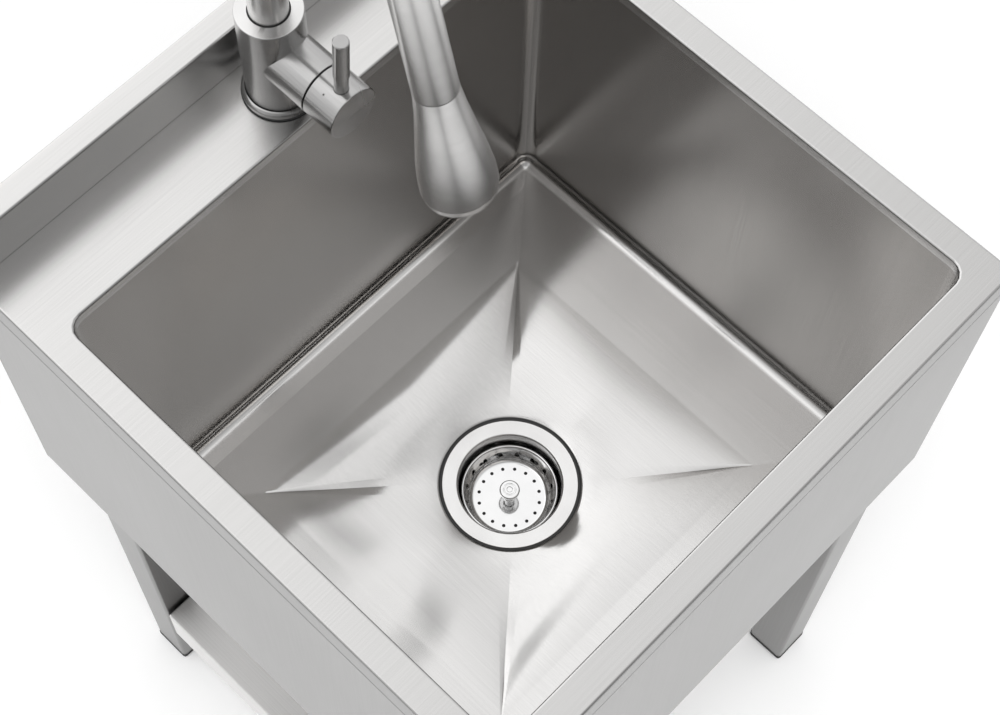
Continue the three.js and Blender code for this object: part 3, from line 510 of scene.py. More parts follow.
# Painted shade: a near-black ring put in the gap round the drain's flange.
painted_seat_shade = moulded("painted_seat_shade", 0.05, 0.7)
black_plastic = moulded("black_plastic", 0.02)
black_rubber = moulded("black_rubber", 0.025, 0.8)
grey_plastic = moulded("grey_plastic", 0.15)
white_plastic = moulded("white_plastic", 0.6)
stretch_gloss(floor_steel, FLOOR_STRETCH)
for turned_finish in (spout_steel, head_steel, satin_steel):
    stretch_gloss(turned_finish, TURNED_STRETCH)


# ---- Camera, floor and light ----

CAMERA_PLACE = (-0.46708, -0.43584, 2.10633)
CAMERA_HEADING = 48.01     # degrees from +Y towards +X
CAMERA_DIP = 65.58         # degrees below the horizon
CAMERA_ROLL = 2.34
CAMERA_LENS = 74.17
CAMERA_SENSOR = 36
CAMERA_CLIP = (0.05, 50)


def add_camera():
    data = bpy.data.cameras.new("camera")
    data.lens = CAMERA_LENS
    data.sensor_width = CAMERA_SENSOR
    data.clip_start, data.clip_end = CAMERA_CLIP
    camera = new_object("camera", data)
    turn = (Matrix.Rotation(math.radians(-CAMERA_HEADING), 4, "Z")
            @ Matrix.Rotation(math.radians(90 - CAMERA_DIP), 4, "X")
            @ Matrix.Rotation(math.radians(CAMERA_ROLL), 4, "Z"))
    camera.matrix_world = Matrix.Translation(CAMERA_PLACE) @ turn
    bpy.context.scene.camera = camera


def seen_by_camera_and_gloss(tree):
    """1 for rays from the camera, off gloss or through glass, and 0 for the rest."""
    path = tree.nodes.new("ShaderNodeLightPath")
    total = path.outputs["Is Camera Ray"]
    for name in ("Is Glossy Ray", "Is Transmission Ray"):
        either = add_node(tree, "ShaderNodeMath", operation="MAXIMUM")
        tree.links.new(total, either.inputs[0])
        tree.links.new(path.outputs[name], either.inputs[1])
        total = either.outputs[0]
    return total


FLOOR_SIZE = 12
FLOOR_GREY = 0.8
FLOOR_ROUGHNESS = 0.9


def add_floor():
    """A pale floor that keeps the object's shadow, on white."""
    nothing_selected()
    bpy.ops.mesh.primitive_plane_add(size=FLOOR_SIZE, location=(0, 0, 0))
    floor = new_piece("floor")
    material = bpy.data.materials.new("floor_paper")
    material.use_nodes = True
    tree = material.node_tree
    shader = tree.nodes["Principled BSDF"]
    shader.inputs["Roughness"].default_value = FLOOR_ROUGHNESS
    paper = mixed(tree, seen_by_camera_and_gloss(tree), grey(FLOOR_GREY), grey(1.0))
    tree.links.new(paper, shader.inputs["Base Color"])
    floor.data.materials.append(material)


WORLD_LIGHT = 0.6
TOWARDS_BRIGHT = (-0.5, 1, 0)       # the studio's bright side is to the back left
BRIGHT_SPAN = (-0.45, 0.5)          # how far a direction points there as the change starts and ends
BRIGHT_LEVELS = (0.62, 1.5)         # the studio in the steel before the change and after it
TOWARDS_CAMERA = (-0.74, -0.67, 0)
CAMERA_SPAN = (0.1, 0.4)
CAMERA_LEVELS = (1.0, 0.45)         # shares of the others: it is darker behind the camera
KEY_PLACE = (-1.2, -1.1, 5.0)
KEY_AIM = (0, 0, 0.3)
KEY_SIZE = 3.0
KEY_POWER = 180


def side_share(tree, direction, towards, span, levels):
    """A value that changes with how far a direction points towards a side of the studio."""
    share = add_node(tree, "ShaderNodeVectorMath", operation="DOT_PRODUCT")
    share.inputs[1].default_value = towards
    tree.links.new(direction, share.inputs[0])
    level = add_node(tree, "ShaderNodeMapRange", From_Min=span[0], From_Max=span[1],
                     To_Min=levels[0], To_Max=levels[1])
    tree.links.new(share.outputs["Value"], level.inputs["Value"])
    return level.outputs["Result"]


def add_world():
    """Even light, a white background, and a studio whose sides differ in reflections."""
    world = bpy.data.worlds.new("studio")
    bpy.context.scene.world = world
    world.use_nodes = True
    tree = world.node_tree
    background = tree.nodes["Background"]
    background.inputs["Strength"].default_value = 1.0
    direction = tree.nodes.new("ShaderNodeTexCoord").outputs["Generated"]
    bright = side_share(tree, direction, TOWARDS_BRIGHT, BRIGHT_SPAN, BRIGHT_LEVELS)
    behind = side_share(tree, direction, TOWARDS_CAMERA, CAMERA_SPAN, CAMERA_LEVELS)
    sides = add_node(tree, "ShaderNodeMath", operation="MULTIPLY")
    tree.links.new(bright, sides.inputs[0])
    tree.links.new(behind, sides.inputs[1])
    light = mixed(tree, seen_by_camera_and_gloss(tree), grey(WORLD_LIGHT), sides.outputs["Value"])
    seen_by_camera = tree.nodes.new("ShaderNodeLightPath").outputs["Is Camera Ray"]
    tree.links.new(mixed(tree, seen_by_camera, light, grey(1.0)), background.inputs["Color"])


def add_key_lamp():
    data = bpy.data.lights.new("key_lamp", "AREA")
    data.shape = "RECTANGLE"
    data.size = data.size_y = KEY_SIZE
    data.energy = KEY_POWER
    lamp = new_object("key_lamp", data)
    lamp.visible_glossy = False
    direction = Vector(KEY_AIM) - Vector(KEY_PLACE)
    turn = direction.to_track_quat("-Z", "Y").to_matrix().to_4x4()
    lamp.matrix_world = Matrix.Translation(KEY_PLACE) @ turn


# ---- Sheets skinned through rings ----

BOWL_SIDE_STEPS = 12       # points on half a side
BOWL_CORNER_STEPS = 8
SHEET = 1.2 * MM
OPENING_RADIUS = 12 * MM
SEAT_GAP = 1.5 * MM
BOWL_FLANGE = 7 * MM       # how far the sheet reaches out under the rim
BOWL_BEND = 3.2 * MM
BOWL_DEPTH = 340 * MM
CREASE_REACH = (152 * MM, 137 * MM)
CREASE_RADIUS = 2 * MM
CREASE_FALL = 3 * MM
DRAIN_FALL = 9 * MM
PANEL_FLATNESS = 2.6
DRAIN_RECESS = 3 * MM
COVE = 12 * MM
SEAT_RADIUS = 59.4 * MM
DRAIN_HOLE = 45 * MM
SMALLEST_RADIUS = 0.3 * MM
BEND_STEPS = 6             # rings over each part of the bowl
WALL_STEPS = 6
COVE_STEPS = 8
SLOPE_STEPS = 5
PANEL_STEPS = 18
PANEL_CROWDING = 1.3       # the panels' rings lie closer near the crease

floor_edge = rim_z - BOWL_DEPTH
crease_z = floor_edge - CREASE_FALL
seat_top = crease_z - DRAIN_FALL


def rounded_ring(half_x, half_y, radius, z, centre):
    """Points of a rounded rectangle, anticlockwise, as many on each side and corner."""
    radius = max(min(radius, half_x, half_y), SMALLEST_RADIUS)
    points = []
    for quarter in range(4):
        ax, ay = (half_x, half_y) if quarter % 2 == 0 else (half_y, half_x)
        own = [(ax, (ay - radius) * i / BOWL_SIDE_STEPS) for i in range(BOWL_SIDE_STEPS)]
        for i in range(BOWL_CORNER_STEPS):
            a = math.pi / 2 * i / BOWL_CORNER_STEPS
            own.append((ax - radius + radius * math.cos(a), ay - radius + radius * math.sin(a)))
        own += [((ax - radius) * (1 - i / BOWL_SIDE_STEPS), ay) for i in range(BOWL_SIDE_STEPS)]
        c, s = round(math.cos(quarter * math.pi / 2)), round(math.sin(quarter * math.pi / 2))
        points += [Vector((centre.x + c * x - s * y, centre.y + s * x + c * y, z)) for x, y in own]
    return points


def round_ring(radius, z, centre, count):
    angles = [2 * math.pi * i / count for i in range(count)]
    return [Vector((centre.x + radius * math.cos(a), centre.y + radius * math.sin(a), z))
            for a in angles]


def mixed_ring(first, second, share, z):
    ring = [a.lerp(b, share) for a, b in zip(first, second)]
    for point in ring:
        point.z = z
    return ring


def panel_ring(crease, seat_ring, share):
    """Part of the way to the drain: the creases fall evenly, the panels between stay flatter."""
    ring = mixed_ring(crease, seat_ring, share, crease_z)
    eighth = len(ring) // 8
    for i, point in enumerate(ring):
        from_crease = abs(i % (2 * eighth) - eighth) / eighth
        point.z = crease_z - DRAIN_FALL * share ** (1 + (PANEL_FLATNESS - 1) * from_crease)
    return ring


def sheet_of_rings(name, rings, closed=False):
    """A ring of edges, extruded from ring to ring, and each new ring set on its points."""
    nothing_selected()
    bpy.ops.mesh.primitive_circle_add(vertices=len(rings[0]), radius=0.1)
    piece = new_piece(name)
    edit(piece, "EDGE")
    for _ in rings[1:]:
        bpy.ops.mesh.extrude_edges_move()
    done(piece)
    for vertex, point in zip(piece.data.vertices, [p for ring in rings for p in ring]):
        vertex.co = point
    piece.data.update()
    if closed:
        edit(piece, "EDGE")
        join_open_ends()
        face_all(piece)
    return piece


def bowl_rings():
    low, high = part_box("bowl")
    half_x = (high.x - low.x) / 2 - BOWL_FLANGE
    half_y = (high.y - low.y) / 2 - BOWL_FLANGE
    radius = OPENING_RADIUS + SEAT_GAP
    centre = Vector((drain.x, drain.y, 0))
    wall_top = high.z - BOWL_BEND
    wall_drop = floor_edge + COVE - wall_top

    def outline(grow, z):
        return rounded_ring(half_x + grow, half_y + grow, radius + grow, z, centre)

    rings = [outline(BOWL_FLANGE, high.z)]
    for i in range(BEND_STEPS, -1, -1):
        a = math.pi / 2 * i / BEND_STEPS
        rings.append(outline(BOWL_BEND * (1 - math.cos(a)), high.z - BOWL_BEND * (1 - math.sin(a))))
    for i in range(1, WALL_STEPS):
        rings.append(outline(0, wall_top + wall_drop * i / WALL_STEPS))
    for i in range(COVE_STEPS + 1):
        a = math.pi / 2 * i / COVE_STEPS
        rings.append(outline(COVE * (math.cos(a) - 1), floor_edge + COVE * (1 - math.sin(a))))
    floor_ring = rings[-1]
    crease = rounded_ring(*CREASE_REACH, CREASE_RADIUS, crease_z, centre)
    for i in range(1, SLOPE_STEPS):
        share = i / SLOPE_STEPS
        rings.append(mixed_ring(floor_ring, crease, share, floor_edge - CREASE_FALL * share))
    rings.append(crease)
    seat_ring = round_ring(SEAT_RADIUS + 2.5 * MM, seat_top, centre, len(crease))
    for i in range(1, PANEL_STEPS + 1):
        rings.append(panel_ring(crease, seat_ring, (i / PANEL_STEPS) ** PANEL_CROWDING))
    seat_z = seat_top - DRAIN_RECESS
    for r, z in ((SEAT_RADIUS + 1.2 * MM, seat_top - 0.6 * MM),
                 (SEAT_RADIUS + 0.2 * MM, seat_z + 0.6 * MM),
                 (SEAT_RADIUS - 0.8 * MM, seat_z), (DRAIN_HOLE, seat_z)):
        rings.append(round_ring(r, z, centre, len(crease)))
    return rings


VALLEY_START = 0.99        # the share of the slope's fall below which a valley is marked
VALLEY_END = 6 * MM        # how far it stays from the seat
COVE_BAND = (0.05, 0.95)   # the cove's painted highlight band, as shares of its height
SIDEWAYS = 0.7             # a wall whose normal has this much along X is a side wall
# Where the painted shade in the drain seat's gap lies.
SEAT_SHADE_DEPTH = 0.2 * MM
SEAT_SHADE_REACH = 1.5 * MM
UNDERSIDE = -0.3           # a face whose normal falls more than this is underneath


def mark_creases(piece, ring_length):
    """Marks the floor's four valley lines sharp, from the crease's corners to the drain."""
    top = floor_edge - VALLEY_START * CREASE_FALL
    inner = SEAT_RADIUS + VALLEY_END
    quarter = ring_length // 4
    for edge in piece.data.edges:
        first, second = edge.vertices
        if first % ring_length == second % ring_length and first % quarter == quarter // 2:
            ends = (piece.data.vertices[first].co, piece.data.vertices[second].co)
            out = min((end.xy - drain.xy).length for end in ends)
            edge.use_edge_sharp = max(end.z for end in ends) < top and out > inner


def make_bowl():
    rings = bowl_rings()
    bowl = sheet_of_rings("bowl_sheet", rings)
    mark_creases(bowl, len(rings[0]))
    edit(bowl)
    face_all(bowl, inwards=True)
    modify(bowl, "SOLIDIFY", thickness=SHEET, offset=-1.0)
    # The whole bowl starts with the darker wall steel, painted shade; the floor then takes the
    # lighter steel.
    finished(bowl, "bowl", shaded_wall_steel, 25)
    cove_foot, cove_top = (floor_edge + share * COVE for share in COVE_BAND)
    second_finish(bowl, floor_steel, lambda centre, normal: centre.z < cove_top)
    # The side walls take the darkest copy: painted shade.
    second_finish(bowl, shaded_side_steel,
                  lambda centre, normal: centre.z > cove_top and abs(normal.x) > SIDEWAYS)
    # The front and back coves take the bright copy: a painted highlight.
    second_finish(bowl, cove_highlight_steel, lambda centre, normal: (
        cove_foot < centre.z < cove_top and abs(normal.y) > abs(normal.x)))
    # The seat's recess round the flange takes the near-black: painted shade in the gap.
    second_finish(bowl, painted_seat_shade, lambda centre, normal: (
        centre.z < seat_top - SEAT_SHADE_DEPTH and normal.z > UNDERSIDE
        and (centre.xy - drain.xy).length < SEAT_RADIUS + SEAT_SHADE_REACH))
    add_grain_map(bowl)


# ---- Folded sheet and the stand ----

CORNERS = (("front_left", -1, -1), ("front_right", 1, -1),
           ("back_left", -1, 1), ("back_right", 1, 1))
LEG_WIDTH = 40
BOLT_SEAT = 3.5            # from the leg's face to the foot of the bolt's head
SKIRT_BAND = 1.5 * MM
UPRIGHT = 0.5              # a face whose normal rises or falls less than this is upright
EASED_EDGE = 0.3


def make_top():
    deck = sheet_copy("top_deck", "deck_sheet", deck_steel)
    low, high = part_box("top_deck")
    # The upright skirt faces of the deck take its darker copy: painted shade.
    second_finish(deck, shaded_skirt_steel, lambda centre, normal: abs(normal.z) < UPRIGHT and (
        abs(centre.x) > high.x - SKIRT_BAND
        or centre.y < low.y + SKIRT_BAND or centre.y > high.y - SKIRT_BAND))
    splash = sheet_copy("backsplash", "backsplash_sheet", deck_steel)
    second_finish(splash, splash_steel, lambda centre, normal: abs(normal.z) < UPRIGHT)


def make_stand():
    for side in ("front", "right", "back", "left"):
        sheet_copy("apron_" + side, "apron_" + side + "_sheet", apron_steel)
    sheet_copy("lower_shelf", "shelf_sheet", shelf_steel)
    sheet_copy("shelf_stiffener", "stiffener_sheet", plain_steel, EASED_EDGE)
    for corner, _, _ in CORNERS:
        sheet_copy("leg_" + corner, "leg_tube_" + corner, leg_steel)
        sheet_copy("leg_socket_" + corner, "leg_socket_block_" + corner, plain_steel, EASED_EDGE)
        sheet_copy("leg_cap_" + corner, "leg_cap_moulding_" + corner, black_plastic)


FOOT_PAD = 5.7
FOOT_STEM = (4.0, 35.7)        # radius, top


def foot_model():
    """A levelling foot: a moulded pad, dished underneath, on a threaded stem."""
    radius, top = FOOT_STEM
    return turned("foot_model", ORIGIN, [
        (0, 0.6), (12.2, 0.6), (12.6, 0), (15.4, 0), *arc(15.4, 0.6, 0.6, -60, 0, 3),
        *arc(14.2, 4.9, 0.8, 0, 90, 4), (6.4, FOOT_PAD), (6.2, FOOT_PAD + 0.2),
        (radius, FOOT_PAD + 0.3), *thread(radius, FOOT_PAD + 1.2, top - 1.2, 1.25, 0.35),
        (radius - 0.8, top), (0, top)], SMALL_ROUND)


def shank(radius, reach, thread_end):
    """The profile of a fastener's threaded part, from its end up to its head."""
    return [(0, -reach), (radius - 0.6, -reach),
            *thread(radius, -reach + 0.6, thread_end, 1.0, 0.3), (radius, 0.3)]


def screw_model():
    """A button-head screw with a hexagon socket."""
    head, high = 5.2, 3.2
    screw = turned("screw_model", ORIGIN, [
        *shank(3.0, 6.8, -0.2), (head, 0.3), (head, 0.9), *arc(0, -3.0, 6.2, 38, 72, 7),
        (0, high)], SMALL_ROUND)
    cut_away(screw, rod("socket_tool", ORIGIN, 1.75, 1.2, 6, 6))
    return screw


def bolt_model():
    """A hexagon bolt with a chamfered head."""
    head, high = 5.8, 4.0
    bolt = turned("bolt_model", ORIGIN, [*shank(3.0, 7.9, 0.2), (3.0, 0.8), (0, 0.8)], SMALL_ROUND)
    hexagon = rod("hexagon", ORIGIN, head, 0, high, 6)
    round_edges(hexagon, 0.45, angle=45)
    merge_with(bolt, hexagon)
    return bolt


def aimed(piece, direction, place):
    """Turns the mesh, so that its +Z points in a direction, and puts its origin at a place."""
    turn = Vector((0, 0, 1)).rotation_difference(Vector(direction)).to_matrix().to_4x4()
    return move_mesh(piece, Matrix.Translation(place) @ turn)


def make_fasteners():
    foot, screw, bolt = foot_model(), screw_model(), bolt_model()
    half = LEG_WIDTH / 2 * MM
    for corner, side, end in CORNERS:
        leg = middle("leg_" + corner)
        own_foot = shift(copy_of(foot, "foot_" + corner), Vector((leg.x, leg.y, 0)))
        finished(own_foot, "levelling_foot_" + corner, black_plastic, 40)
        place = Vector((leg.x - side * half, leg.y, middle("leg_screw_" + corner).z))
        own_screw = aimed(copy_of(screw, "button_screw_" + corner), (-side, 0, 0), place)
        finished(own_screw, "leg_screw_" + corner, bright_steel)
        place = Vector((leg.x, leg.y - end * (half + BOLT_SEAT * MM),
                        middle("shelf_bolt_" + corner).z))
        own_bolt = aimed(copy_of(bolt, "hexagon_bolt_" + corner), (0, -end, 0), place)
        finished(own_bolt, "shelf_bolt_" + corner, bright_steel)
    for model in (foot, screw, bolt):
        bpy.data.objects.remove(model)


# ---- Drain: heights count from the top of the strainer's flange ----

FLANGE_RADIUS = 57.15
FLANGE = 2.5
STRAINER_WALL = 44.4
NECK = 23.7
NECK_BOTTOM = -60.8
PLATE = -33.0
BASKET_SHEET = 0.9
HOLES = 16
POST = 2.4
LUGS = 8
SPIDER_FOOT = -48.9
SPIDER_TOP = -46.9
SIDE_HOLE_TILT = 55
SIDE_HOLE_PLACE = Vector((35.6, 0, -26.8)) * MM
PLATE_HOLE_PLACE = Vector((26.0 * MM, 0, 0))


def make_strainer():
    body = turned("strainer_pressing", drain, [
        (FLANGE_RADIUS, -FLANGE), (FLANGE_RADIUS, -0.6),
        *arc(FLANGE_RADIUS - 0.6, -0.6, 0.6, 15, 90, 4), (45.4, -0.2),
        *arc(45.4, -2.0, 1.8, 80, 180, 8), (43.4, -4.6), (42.8, -27.5),
        *arc(38.8, -28.2, 4.0, 0, -45, 4), *arc(33.4, -38.0, 4.0, -45, -60, 2), (31, -41.2),
        (22.0, -43.9), *arc(21.0, -46.3, 1.5, 110, 180, 4), (19.5, NECK_BOTTOM),
        (NECK - 0.6, NECK_BOTTOM), (NECK, NECK_BOTTOM + 0.6),
        *thread(NECK, NECK_BOTTOM + 1.2, -47.6, 2.0, 0.5), (NECK, -45.6), (31.8, -41.8),
        (STRAINER_WALL - 0.6, -29.4), *thread(STRAINER_WALL, -28.2, -6.2, 2.4, 0.5),
        (STRAINER_WALL, -5.0), (STRAINER_WALL, -FLANGE)])
    spider_low, spider_high = drain.z + SPIDER_FOOT * MM, drain.z + SPIDER_TOP * MM
    reach, half = 21.6 * MM, 2.0 * MM
    for dx, dy in ((reach, half), (half, reach)):
        corner = Vector((dx, dy, 0))
        low, high = drain - corner, drain + corner
        merge_with(body, bar("spider", (low.x, low.y, spider_low), (high.x, high.y, spider_high)))
    merge_with(body, rod("spider_hub", drain, POST + 2.0, SPIDER_FOOT, SPIDER_TOP))
    cut_away(body, rod("post_hole", drain, POST + 0.3, -52, -44))
    finished(body, "strainer_body", flange_steel, 30)

    finished(turned("seal_ring", drain, [
        (44.7, -7.3), (53.6, -7.3), *arc(53.4, -6.7, 0.6, -80, 0, 3),
        *arc(53.4, -4.9, 0.6, 0, 80, 3), (44.7, -4.3)], SMALL_ROUND),
        "strainer_gasket", black_rubber)
    nut = turned("locknut_ring", drain, [
        (44.7, -17.6), (50.4, -17.6), (51, -17.0), (51, -8.2), (50.4, -7.6), (44.7, -7.6)])
    lug = bar("lug", drain + Vector((46.5, -2.5, -17.4)) * MM,
              drain + Vector((55.8, 2.5, -7.8)) * MM)
    round_edges(lug, 0.8, 3)
    merge_with(nut, around(lug, drain, LUGS))
    cut_away(nut, rod("nut_bore", drain, 44.7, -20, -5, ROUND))
    finished(nut, "strainer_locknut", plain_steel)

    finished(turned("tailpiece_tube", drain, [
        (17.85, -61.1), (NECK - 0.3, -61.1), (NECK, -61.4), (NECK, -62.4), (NECK - 0.3, -62.7),
        (20.2, -62.7), *arc(20.05, -63.7, 1.0, 110, 180, 3), (19.05, -170.8), (18.75, -171.1),
        (17.85, -171.1)]), "tailpiece", bright_steel)
    make_slip_nut()


def make_slip_nut():
    """A moulded nut with ribs for the hand."""
    bottom, top, outer = -69.0, -49.0, 27.6
    nut = turned("slip_nut", drain, [
        (19.35, bottom), (outer - 1.0, bottom), *arc(outer - 1.0, bottom + 1.0, 1.0, -75, 0, 3),
        *arc(outer - 1.0, top - 1.0, 1.0, 0, 90, 4), (24.0, top), (24.0, bottom + 6),
        (19.35, bottom + 6)])
    rib = bar("rib", drain + Vector((25.0, -2.6, bottom + 0.6)) * MM,
              drain + Vector((30.6, 2.6, top - 0.6)) * MM)
    round_edges(rib, 1.2, 3)
    merge_with(nut, around(rib, drain, LUGS))
    finished(nut, "tailpiece_nut", white_plastic)


def make_basket():
    bore = POST + 0.3
    inner = [(38.1, -16.2), (37.6, -22.0), (36.0, -26.6), *arc(30.0, -27.6, 5.4, 0, -90, 8),
             (bore, PLATE)]
    outer = [(bore, PLATE - BASKET_SHEET), *arc(30.0, -27.6, 5.4 + BASKET_SHEET, -90, 0, 8),
             (36.9, -26.4), (38.4, -22.0), (38.9, -16.6)]
    rim = [(40.1, -16.5), *arc(39.6, -15.4, 1.4, -40, 180, 12)]
    cup = turned("basket_pressing", drain, [*rim, *inner, *outer])
    hole = shift(rod("plate_hole", drain, 1.5, PLATE - 2, PLATE + 1, 20), PLATE_HOLE_PLACE)
    cut_away(cup, around(hole, drain, HOLES, 0.5))
    hole = turn_piece(rod("side_hole", drain, 2.2, -4, 4, 20), drain, "Y", SIDE_HOLE_TILT)
    cut_away(cup, around(shift(hole, SIDE_HOLE_PLACE), drain, HOLES, 0.5))
    finished(cup, "basket", bright_steel, 30)

    top, bottom, lip = -34.2, -37.6, 33.4
    finished(turned("stopper_disc", drain, [
        (bore, top), (31.2, top), *arc(31.4, top - 0.5, 0.5, 80, 20, 3),
        *arc(lip - 0.5, bottom + 0.5, 0.5, 20, -80, 4), (26.0, bottom), (25.0, bottom + 0.8),
        (8.0, bottom + 0.8), (7.2, bottom), (bore, bottom)]), "basket_stopper", black_rubber)

    knob, neck, head, crown = 8.6, 3.8, -18.5, -14.0
    finished(turned("basket_knob", drain, [
        (0, -48.2), (POST - 0.6, -48.2), (POST, -47.6), (POST, -32.7), (neck + 1.2, -32.7),
        (neck + 1.2, -32.0), *arc(neck + 1.2, -30.8, 1.2, -90, -180, 4), (neck, -20.0),
        *arc(neck + 1.4, -19.9, 1.4, 180, 90, 4), (knob - 1.2, head),
        *arc(knob - 1.2, head + 1.2, 1.2, -70, 0, 3), *arc(knob - 1.2, crown - 1.2, 1.2, 0, 90, 5),
        (5.6, crown), (5.2, crown - 0.5), (4.6, crown - 0.5), (4.2, crown), (2.6, crown),
        (2.2, crown - 0.4), (0, crown - 0.4)]), "basket_post", bright_steel)


# ---- Tap: heights count from the rim ----

COLUMN = 24.2
COLUMN_TOP = 99.0
COLUMN_FOOT = 1.8
SPOUT = 14.0
SPOUT_END = 15.2
SPOUT_WALL = 1.5
SPOUT_FOOT = 65.3
HOUSING = 21.0
HOUSING_REACH = 49.5
CARTRIDGE = 17.3
CARTRIDGE_REACH = 45.5
CARTRIDGE_BACK = 20.5
MOUTH = 12.5
VALVE_HEIGHT = 56
CAP_REAR = 50.7
CAP_MOUTH = 20.55          # the cap's hollow widens, so that it clears the housing when it tips
CAP_REACH = 78.5
LEVER_REACH = 66.8
LEVER_LEAN = 3.85
LEVER = 5.75
LEVER_NECK = 5.1
LEVER_TOP = 82.0
GRUB_REACH = 68.0
DOT_ASIDE = -10.9          # a small dimple on top of the cap
DOT_REACH = 62.0
FACING_UP = 0.9            # a face whose normal rises more than this faces up

valve = tap + Vector((0, 0, VALVE_HEIGHT * MM))


def forward(piece):
    """Turns a piece about the valve, so that its height becomes reach to the front."""
    return turn_piece(piece, valve, "X", 90)


def turn_housing_grain(body):
    """The housing is turned about the valve's own axis, so its part of the map runs forward."""
    grain = body.data.uv_layers[GRAIN_MAP]
    for face in body.data.polygons:
        if (face.center - tap).xy.length > (COLUMN + 0.2) * MM:
            spin = face.normal.cross(Vector((0, 1, 0)))
            for loop in face.loop_indices:
                place = body.data.vertices[body.data.loops[loop].vertex_index].co - valve
                grain.data[loop].uv = (place.y + OUTWARD_SHARE * place.xz.length, place.dot(spin))


def make_tap_body():
    finished(turned("seal_under_tap", tap, [
        (17.5, 0.3), (27.9, 0.3), (28.2, 0.6), (28.2, 1.2), (27.9, 1.5), (17.5, 1.5)]),
        "tap_gasket", black_rubber)
    inner = COLUMN + 0.3
    finished(turned("base_ring", tap, [
        (inner, 1.8), (27.4, 1.8), (27.8, 2.2), *arc(inner, 4.5, 3.3, 0, 82, 10)]),
        "tap_base_ring", satin_steel, turned_on=tap)
    body = turned("tap_column", tap, [
        (0, COLUMN_FOOT), (COLUMN - 0.3, COLUMN_FOOT), (COLUMN, COLUMN_FOOT + 0.3),
        *arc(COLUMN - 0.8, COLUMN_TOP - 0.8, 0.8, 0, 90, 4), (0, COLUMN_TOP)])
    housing = turned("housing", valve, [
        (0, 0), (HOUSING, 0), *arc(HOUSING - 0.5, HOUSING_REACH - 0.5, 0.5, 0, 90, 4),
        (0, HOUSING_REACH)])
    merge_with(body, forward(housing))
    cut_away(body, rod("spout_bore", tap, SPOUT + 1.1, SPOUT_FOOT - 0.6, COLUMN_TOP + 1, ROUND))
    cut_away(body, rod("waterway", tap, 11.5, 0, COLUMN_TOP))
    cut_away(body, rod("shank_bore", tap, 14.3, 0, 20.3))
    cut_away(body, forward(rod("cartridge_bore", valve, CARTRIDGE + 0.3, CARTRIDGE_BACK - 0.3,
                               HOUSING_REACH + 1, ROUND)))
    finished(body, "tap_body", satin_steel, 25, turned_on=tap)
    turn_housing_grain(body)
    column_top = top_of("tap_body") - MM
    # Painted light: the upward faces on top of the column take the lighter spout steel.
    second_finish(body, spout_steel,
                  lambda centre, normal: normal.z > FACING_UP and centre.z > column_top)
    finished(turned("spout_liner", tap, [
        (SPOUT + 0.3, SPOUT_FOOT), (SPOUT + 0.8, SPOUT_FOOT), (SPOUT + 0.8, COLUMN_TOP - 0.4),
        (SPOUT + 0.6, COLUMN_TOP - 0.3), (SPOUT + 0.3, COLUMN_TOP - 0.3)]),
        "spout_bush", black_plastic)


def make_tap_fixing():
    finished(turned("threaded_shank", tap, [
        (11.5, -41.6), (11.9, -42), (13.4, -42), *thread(14, -41.2, -0.8, 1.5, 0.5), (14, 0),
        (14, 20), (11.5, 20)], SMALL_ROUND), "tap_shank", plain_steel)
    finished(turned("shank_washer", tap, [
        (14.3, -4.5), (23.2, -4.5), (23.5, -4.2), (23.5, -1.8), (23.2, -1.5), (14.3, -1.5)],
        SMALL_ROUND), "tap_washer", black_rubber)
    nut = rod("shank_nut", tap, 22, -15.8, -4.8, 6)
    round_edges(nut, 0.6, angle=45)
    cut_away(nut, rod("nut_bore", tap, 14.3, -20, 0))
    finished(nut, "tap_nut", plain_steel)


def make_valve():
    finished(forward(turned("valve_cartridge", valve, [
        (0, CARTRIDGE_BACK), (CARTRIDGE - 0.4, CARTRIDGE_BACK), (CARTRIDGE, CARTRIDGE_BACK + 0.4),
        (CARTRIDGE, CARTRIDGE_REACH - 0.4), (CARTRIDGE - 0.4, CARTRIDGE_REACH),
        (MOUTH, CARTRIDGE_REACH), (6.3, 36.7), *arc(0, 33.7, 6.98, 25, -25, 6), (6.3, 30.7),
        (5, 27.6), (12.3, 27.6), (12.3, 23.0), (0, 23.0)])), "cartridge", grey_plastic)
    back, front = CARTRIDGE_REACH + 0.3, CARTRIDGE_REACH + 4.0
    dome = [(MOUTH + 4.8 * math.cos(math.radians(a)), front + 4.0 * math.sin(math.radians(a)))
            for a in range(10, 81, 10)]
    finished(forward(turned("valve_nut", valve, [
        (MOUTH, back), (CARTRIDGE, back), (CARTRIDGE, front), *dome, (MOUTH, front + 4.0)])),
        "cartridge_nut", bright_steel)
    finished(forward(turned("turning_disc", valve, [
        (0, 23.3), (11.7, 23.3), (12, 23.6), (12, 27.0), (11.7, 27.3), (0, 27.3)], SMALL_ROUND)),
        "mixing_disc", white_plastic)
    finished(forward(turned("ball_stem", valve, [
        (0, 28.2), (3.15, 28.2), (3.15, 29.5), *arc(0, 33.7, 5.28, -52, 32, 10), (4.5, 37.9),
        (4.5, 71.7), (4.0, 72.2), (0, 72.2)], SMALL_ROUND)), "valve_stem", plain_steel)


